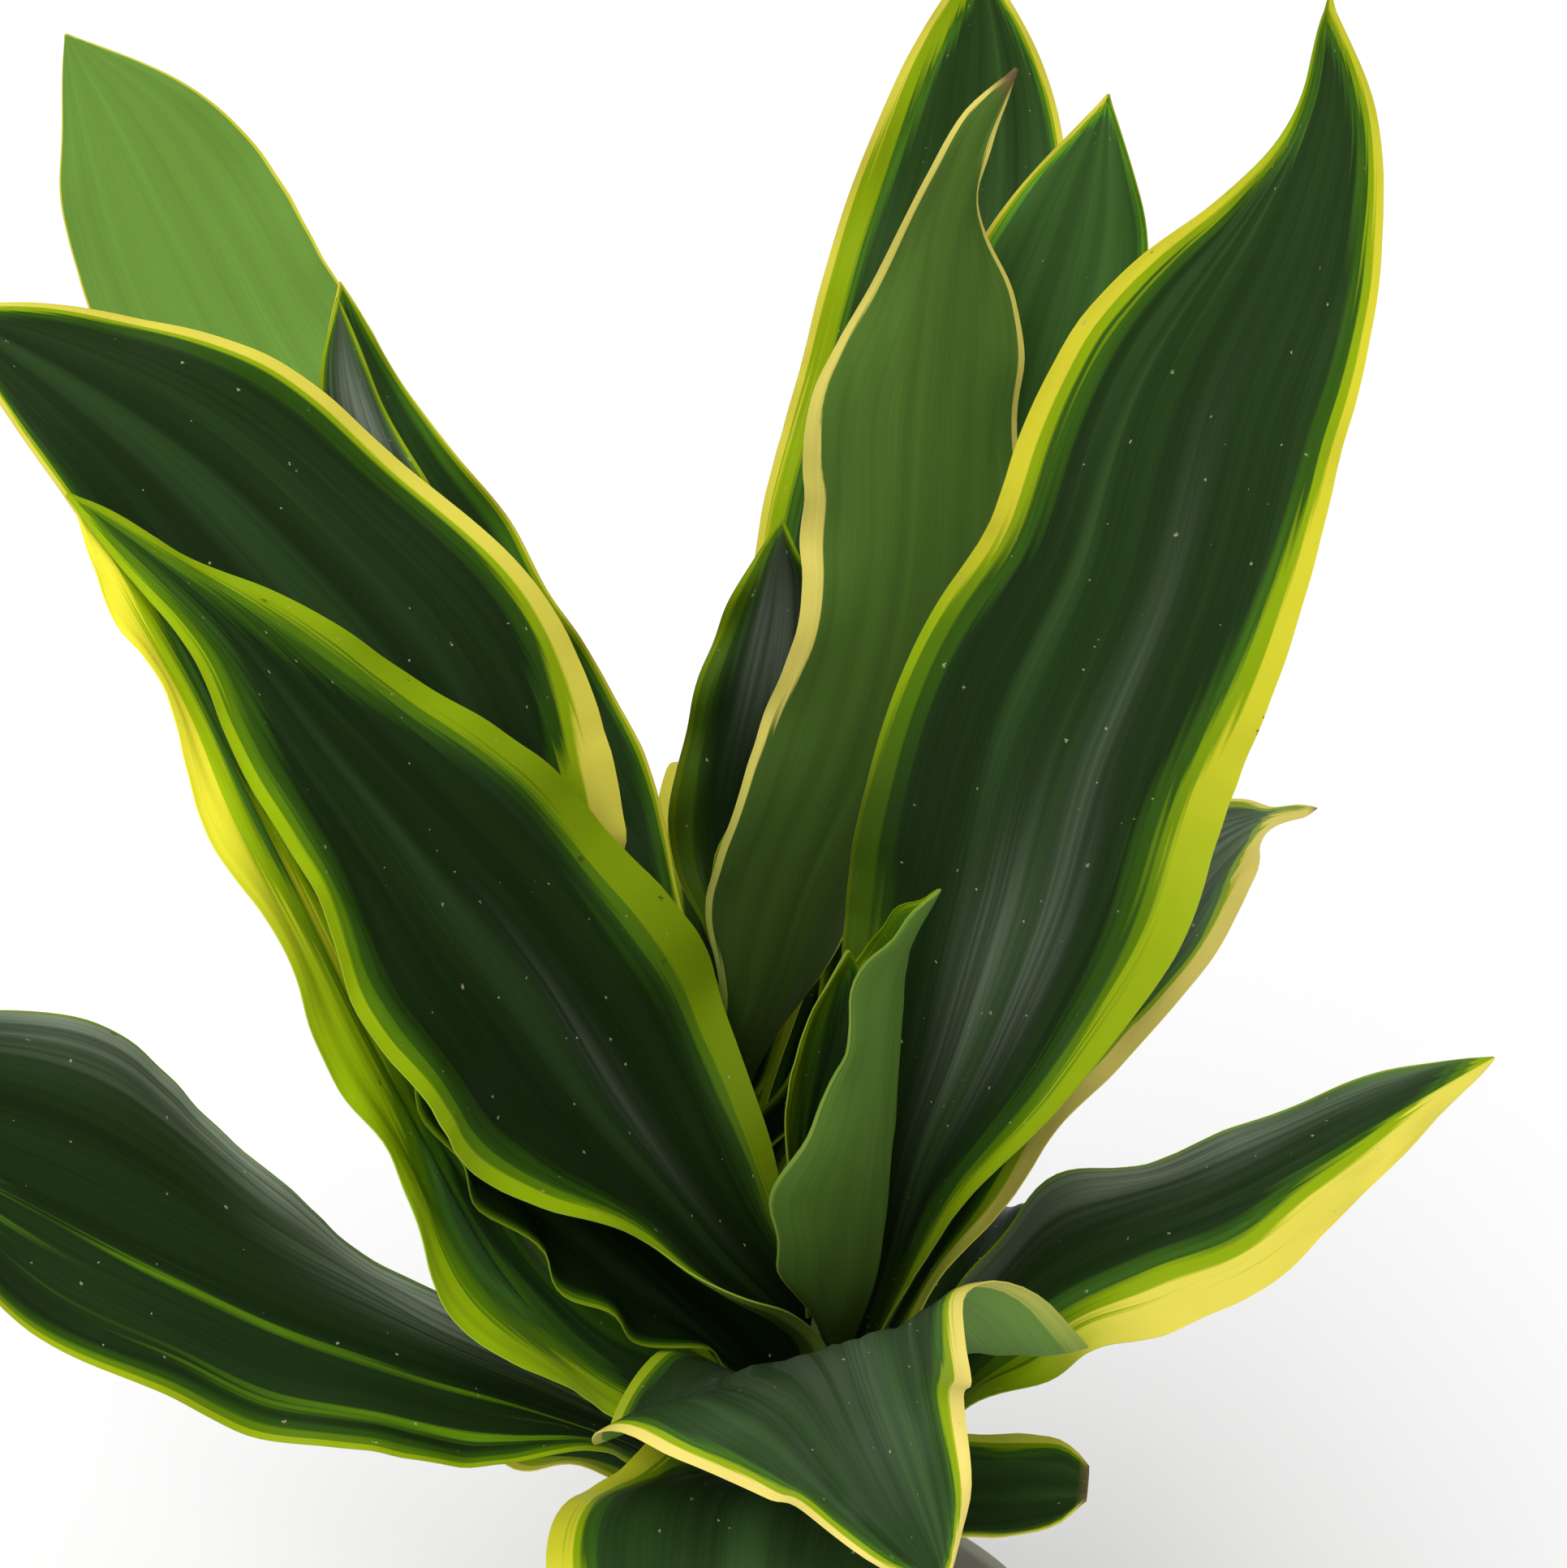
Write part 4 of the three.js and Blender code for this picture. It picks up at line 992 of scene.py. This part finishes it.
def upper_colour(p):
    """Dark green with bands along the margins, streaks, veins and slow changes of depth."""
    colour = p.mix(p.ease(p.ripe, 0, 0.5), p.banded(OLIVE, MOSS, FERN), p.banded(LIME, GRASS, GREEN))
    colour = p.mix(p.ease(p.ripe, 0.5, 1), colour, p.banded(YELLOW, LIME, GREEN))
    # Broad pale streaks and narrow lime ones inside the bands
    inner = p.ease(p.band, 1.6, 3.0)
    pale = p.ease(p.grain(0.085, 0.003), 0.5, 0.66)
    colour = p.mix(p.times(pale, p.soft, p.times(inner, 0.75)), colour, PALE_STREAK)
    level = p.minus(0.74, p.times(p.streaks, 0.3))
    streak = p.ease(p.minus(p.grain(0.3, 0.004, 3.0), level), 0, 0.12)
    streak = p.times(streak, p.ease(p.streaks, 0.0, 0.05))
    strength = p.ease(p.grain(0.2, 0.012), 0.35, 0.62, 0.2, 0.8)
    colour = p.mix(p.times(streak, strength), colour, STREAK)
    # Cream instead of yellow
    yellow = p.times(p.ease(p.band, 1.05, 0.75), p.ease(p.ripe, 0.5, 1))
    colour = p.mix(p.times(yellow, p.cream), colour, CREAM)
    # Veins and slow changes of depth
    bright = p.vary(p.veins, 0.92, 1.08)
    folds = p.ease(p.broad, 0.32, 0.68, 0.82, 1.25)
    depth = p.calculate("MULTIPLY_ADD", p.minus(p.times(folds, p.tone, bright), 1), inner, 1)
    return p.shaded(colour, depth)


def lower_colour(p):
    """Paler and duller green with a margin like the upper one."""
    # Painted shade towards the cane and a painted glow of light shining through, on the underside's green
    colour = p.shaded(UNDERSIDE, p.times(p.lower_tone_and_painted_light, p.vary(p.broad, 0.93, 1.07)))
    edge = p.mix(p.ease(p.ripe, 0.5, 1), UNDERSIDE_LIME, p.mix(p.cream, YELLOW, CREAM))
    colour = p.mix(p.ease(p.band, 0.8, 1.2, 0.85, 0), colour, edge)
    return p.shaded(colour, p.vary(p.veins, 0.95, 1.05))


def painted_light_and_withering(p, colour):
    """Adds painted sheen, streaky grey patches that stand in for reflections, darkens the leaf's foot
    with painted shade, brightens leaves that lie in shade with painted light, and withers the tips.
    """
    sheen = p.times(p.painted_sheen, p.ease(p.grain(0.6, 0.007, 3.0, 0.6), 0.32, 0.66, 0.3, 1.0))
    colour = p.mix(p.times(sheen, p.ease(p.band, 0.6, 1.6)), colour, PAINTED_SHEEN_GREY)
    # Painted shade at each leaf's foot, and painted light that brightens leaves lying in shade
    colour = p.shaded(colour, p.light)
    return p.mix(p.dry, colour, p.shaded(WITHERED, p.vary(p.veins, 0.6, 1.3)))


def speckled(p, colour):
    """Adds dust, and brown spots on the margins."""
    ragged = p.ease(p.grain(2.6, 2.6), 0.36, 0.62, 0.35, 1.0)
    margin = p.times(p.upper, p.ease(p.band, 2.2, 1.6))
    # Cells for each millimetre, how rare a spot is, its greatest radius in cells, colour, and where
    for scale, rare, size, spot, where in (
        (0.16, 0.72, 0.104, DUST, p.upper),
        (0.4, 0.84, 0.195, DUST, p.upper),
        (0.13, 0.8, 0.143, BROWN_SPOT, margin),
    ):
        cell = p.vector(p.times(p.across, scale), p.times(p.run, scale), p.plus(p.seed, scale * 100))
        dots = p.node("TexVoronoi", Vector=cell, Scale=1.0)
        chance = p.split(dots.outputs["Color"])[0]
        radius = p.times(p.ease(chance, rare, 1.0, 0.0, size), ragged)
        speck = p.ease(p.minus(radius, dots.outputs["Distance"]), 0, 0.012)
        colour = p.mix(p.times(speck, where, 0.75), colour, spot)
    return colour


def leaf_material():
    """Variegated above, paler and duller below."""
    p = LeafPainter("leaf_variegated")
    colour = speckled(p, painted_light_and_withering(p, p.mix(p.upper, lower_colour(p), upper_colour(p))))
    patchy = p.vary(p.broad, 0.36, 0.5)
    rough = p.calculate("MULTIPLY_ADD", p.minus(1, p.upper), 0.15, patchy)
    shine = p.times(p.gloss, p.vary(p.veins, 0.8, 1.2), p.ease(p.dry, 0, 1, 1, 0.2))
    height = p.plus(p.times(p.veins, 0.8), p.times(p.grain(0.5, 0.006), 1.4))
    return p.finish(colour, rough, Normal=p.bump(height, 0.35, 0.2), Specular_IOR_Level=shine)


def bark_material():
    """Grey-brown bark, greener and smoother towards the crown."""
    p = Painter("cane_bark")
    place = p.split(p.place())
    grain = p.noise(p.scaled(place, 900, 900, 90), 1, 4)
    rings = p.noise(p.scaled(place, 40, 40, 700), 1, 3)
    old = p.ramp(grain, (
        (0.25, paint(84, 68, 48)), (0.5, paint(134, 114, 84)), (0.75, paint(176, 158, 122)),
    ))
    old = p.mix(p.ease(rings, 0.55, 0.7), old, paint(96, 76, 54))
    young = p.mix(grain, paint(74, 92, 40), paint(128, 134, 70))
    colour = p.mix(p.ease(place[2], 0.17, 0.24), old, young)
    rough = p.ease(grain, 0.2, 0.8, 0.9, 0.7)
    return p.finish(colour, rough, Normal=p.bump(p.plus(grain, rings), 0.6, 0.4))


def soil_material():
    """Dark damp peat with paler crumbs of bark and a few white grains."""
    p = Painter("potting_soil")
    place = p.place()
    shade = p.field("shade")
    coarse = p.noise(place, 320, 5, 0.65)
    fine = p.noise(place, 1500, 3, 0.6)
    ground = p.ramp(coarse, (
        (0.3, paint(28, 20, 14)), (0.55, paint(62, 45, 32)), (0.75, paint(98, 74, 52)),
    ))
    crumb = p.ramp(shade, (
        (0, paint(34, 24, 17)), (0.6, paint(82, 58, 38)),
        (0.93, paint(122, 92, 62)), (0.97, paint(205, 200, 188)),
    ))
    colour = p.mix(p.ease(shade, 0.0, 0.02), ground, crumb)
    colour = p.mix(p.vary(fine, 0.0, 0.5), colour, paint(30, 22, 16))
    rough = p.vary(fine, 0.85, 1.0)
    return p.finish(colour, rough, Normal=p.bump(p.plus(coarse, fine), 0.8, 0.6))


def pot_material():
    """Plain matte moulded plastic, a little dirty at its foot."""
    p = Painter("pot_plastic")
    place = p.place()
    axes = p.split(place)
    cloud = p.noise(place, 18, 3)
    fine = p.noise(place, 1800, 2, 0.6)
    flow = p.noise(p.scaled(axes, 20, 20, 900), 1, 2)
    colour = p.mix(p.ease(cloud, 0.3, 0.7), paint(178, 172, 162), paint(192, 186, 176))
    dirt = p.times(p.ease(axes[2], 0.03, 0.0), p.ease(cloud, 0.4, 0.7))
    colour = p.mix(p.times(dirt, 0.25), colour, paint(120, 108, 92))
    rough = p.vary(cloud, 0.5, 0.62)
    height = p.plus(p.times(fine, 0.6), p.times(flow, 0.4))
    return p.finish(colour, rough, Normal=p.bump(height, 0.3, 0.1))


def floor_material():
    """Plain white paper."""
    p = Painter("studio_floor")
    tooth = p.noise(p.place(), 900, 2)
    colour = p.mix(tooth, paint(251, 251, 251), paint(254, 254, 254))
    return p.finish(colour, p.vary(tooth, 0.85, 0.95))


# Studio

def make_floor():
    side = FLOOR_HALF_SIDE
    corners = [(-side, -side, 0), (side, -side, 0), (side, side, 0), (-side, side, 0)]
    floor = mesh_object("floor", corners, [(0, 1, 2, 3)])
    floor.data.materials.append(floor_material())


def make_camera():
    data = bpy.data.cameras.new("camera")
    data.sensor_fit = "HORIZONTAL"
    data.sensor_width = SENSOR_WIDTH
    data.lens = FOCAL_PIXELS / PICTURE_WIDTH * SENSOR_WIDTH
    data.clip_start = CAMERA_NEAREST * MM
    data.clip_end = CAMERA_FARTHEST * MM
    camera = add_object("camera", data)
    camera.location = [value * MM for value in CAMERA_PLACE]
    camera.rotation_euler = (radians(90 - CAMERA_DOWN), 0, 0)
    bpy.context.scene.camera = camera


def make_sun():
    """Even light from far away."""
    data = bpy.data.lights.new("key", "SUN")
    data.energy = SUN_STRENGTH
    data.angle = radians(SUN_SPREAD)
    lamp = add_object("key", data)
    lamp.rotation_euler = (radians(SUN_TILT), 0, radians(SUN_TURN))


def make_sky():
    """Even white light from all sides."""
    world = bpy.data.worlds.new("studio")
    world.use_nodes = True
    background = world.node_tree.nodes["Background"]
    background.inputs["Color"].default_value = (1, 1, 1, 1)
    background.inputs["Strength"].default_value = SKY_STRENGTH
    bpy.context.scene.world = world


# The plant in its studio

make_camera()
make_floor()
make_sun()
make_sky()
bpy.context.scene.view_settings.view_transform = "Standard"

make_pot(pot_material())
peat = soil_material()
make_soil(peat)
make_crumbs(peat)
bark = bark_material()
for cane_name in CANES:
    make_cane(cane_name, bark)
leaf_paint = leaf_material()
for leaf_name, leaf_line in LEAVES.items():
    make_leaf(leaf_name, leaf_line, leaf_paint)
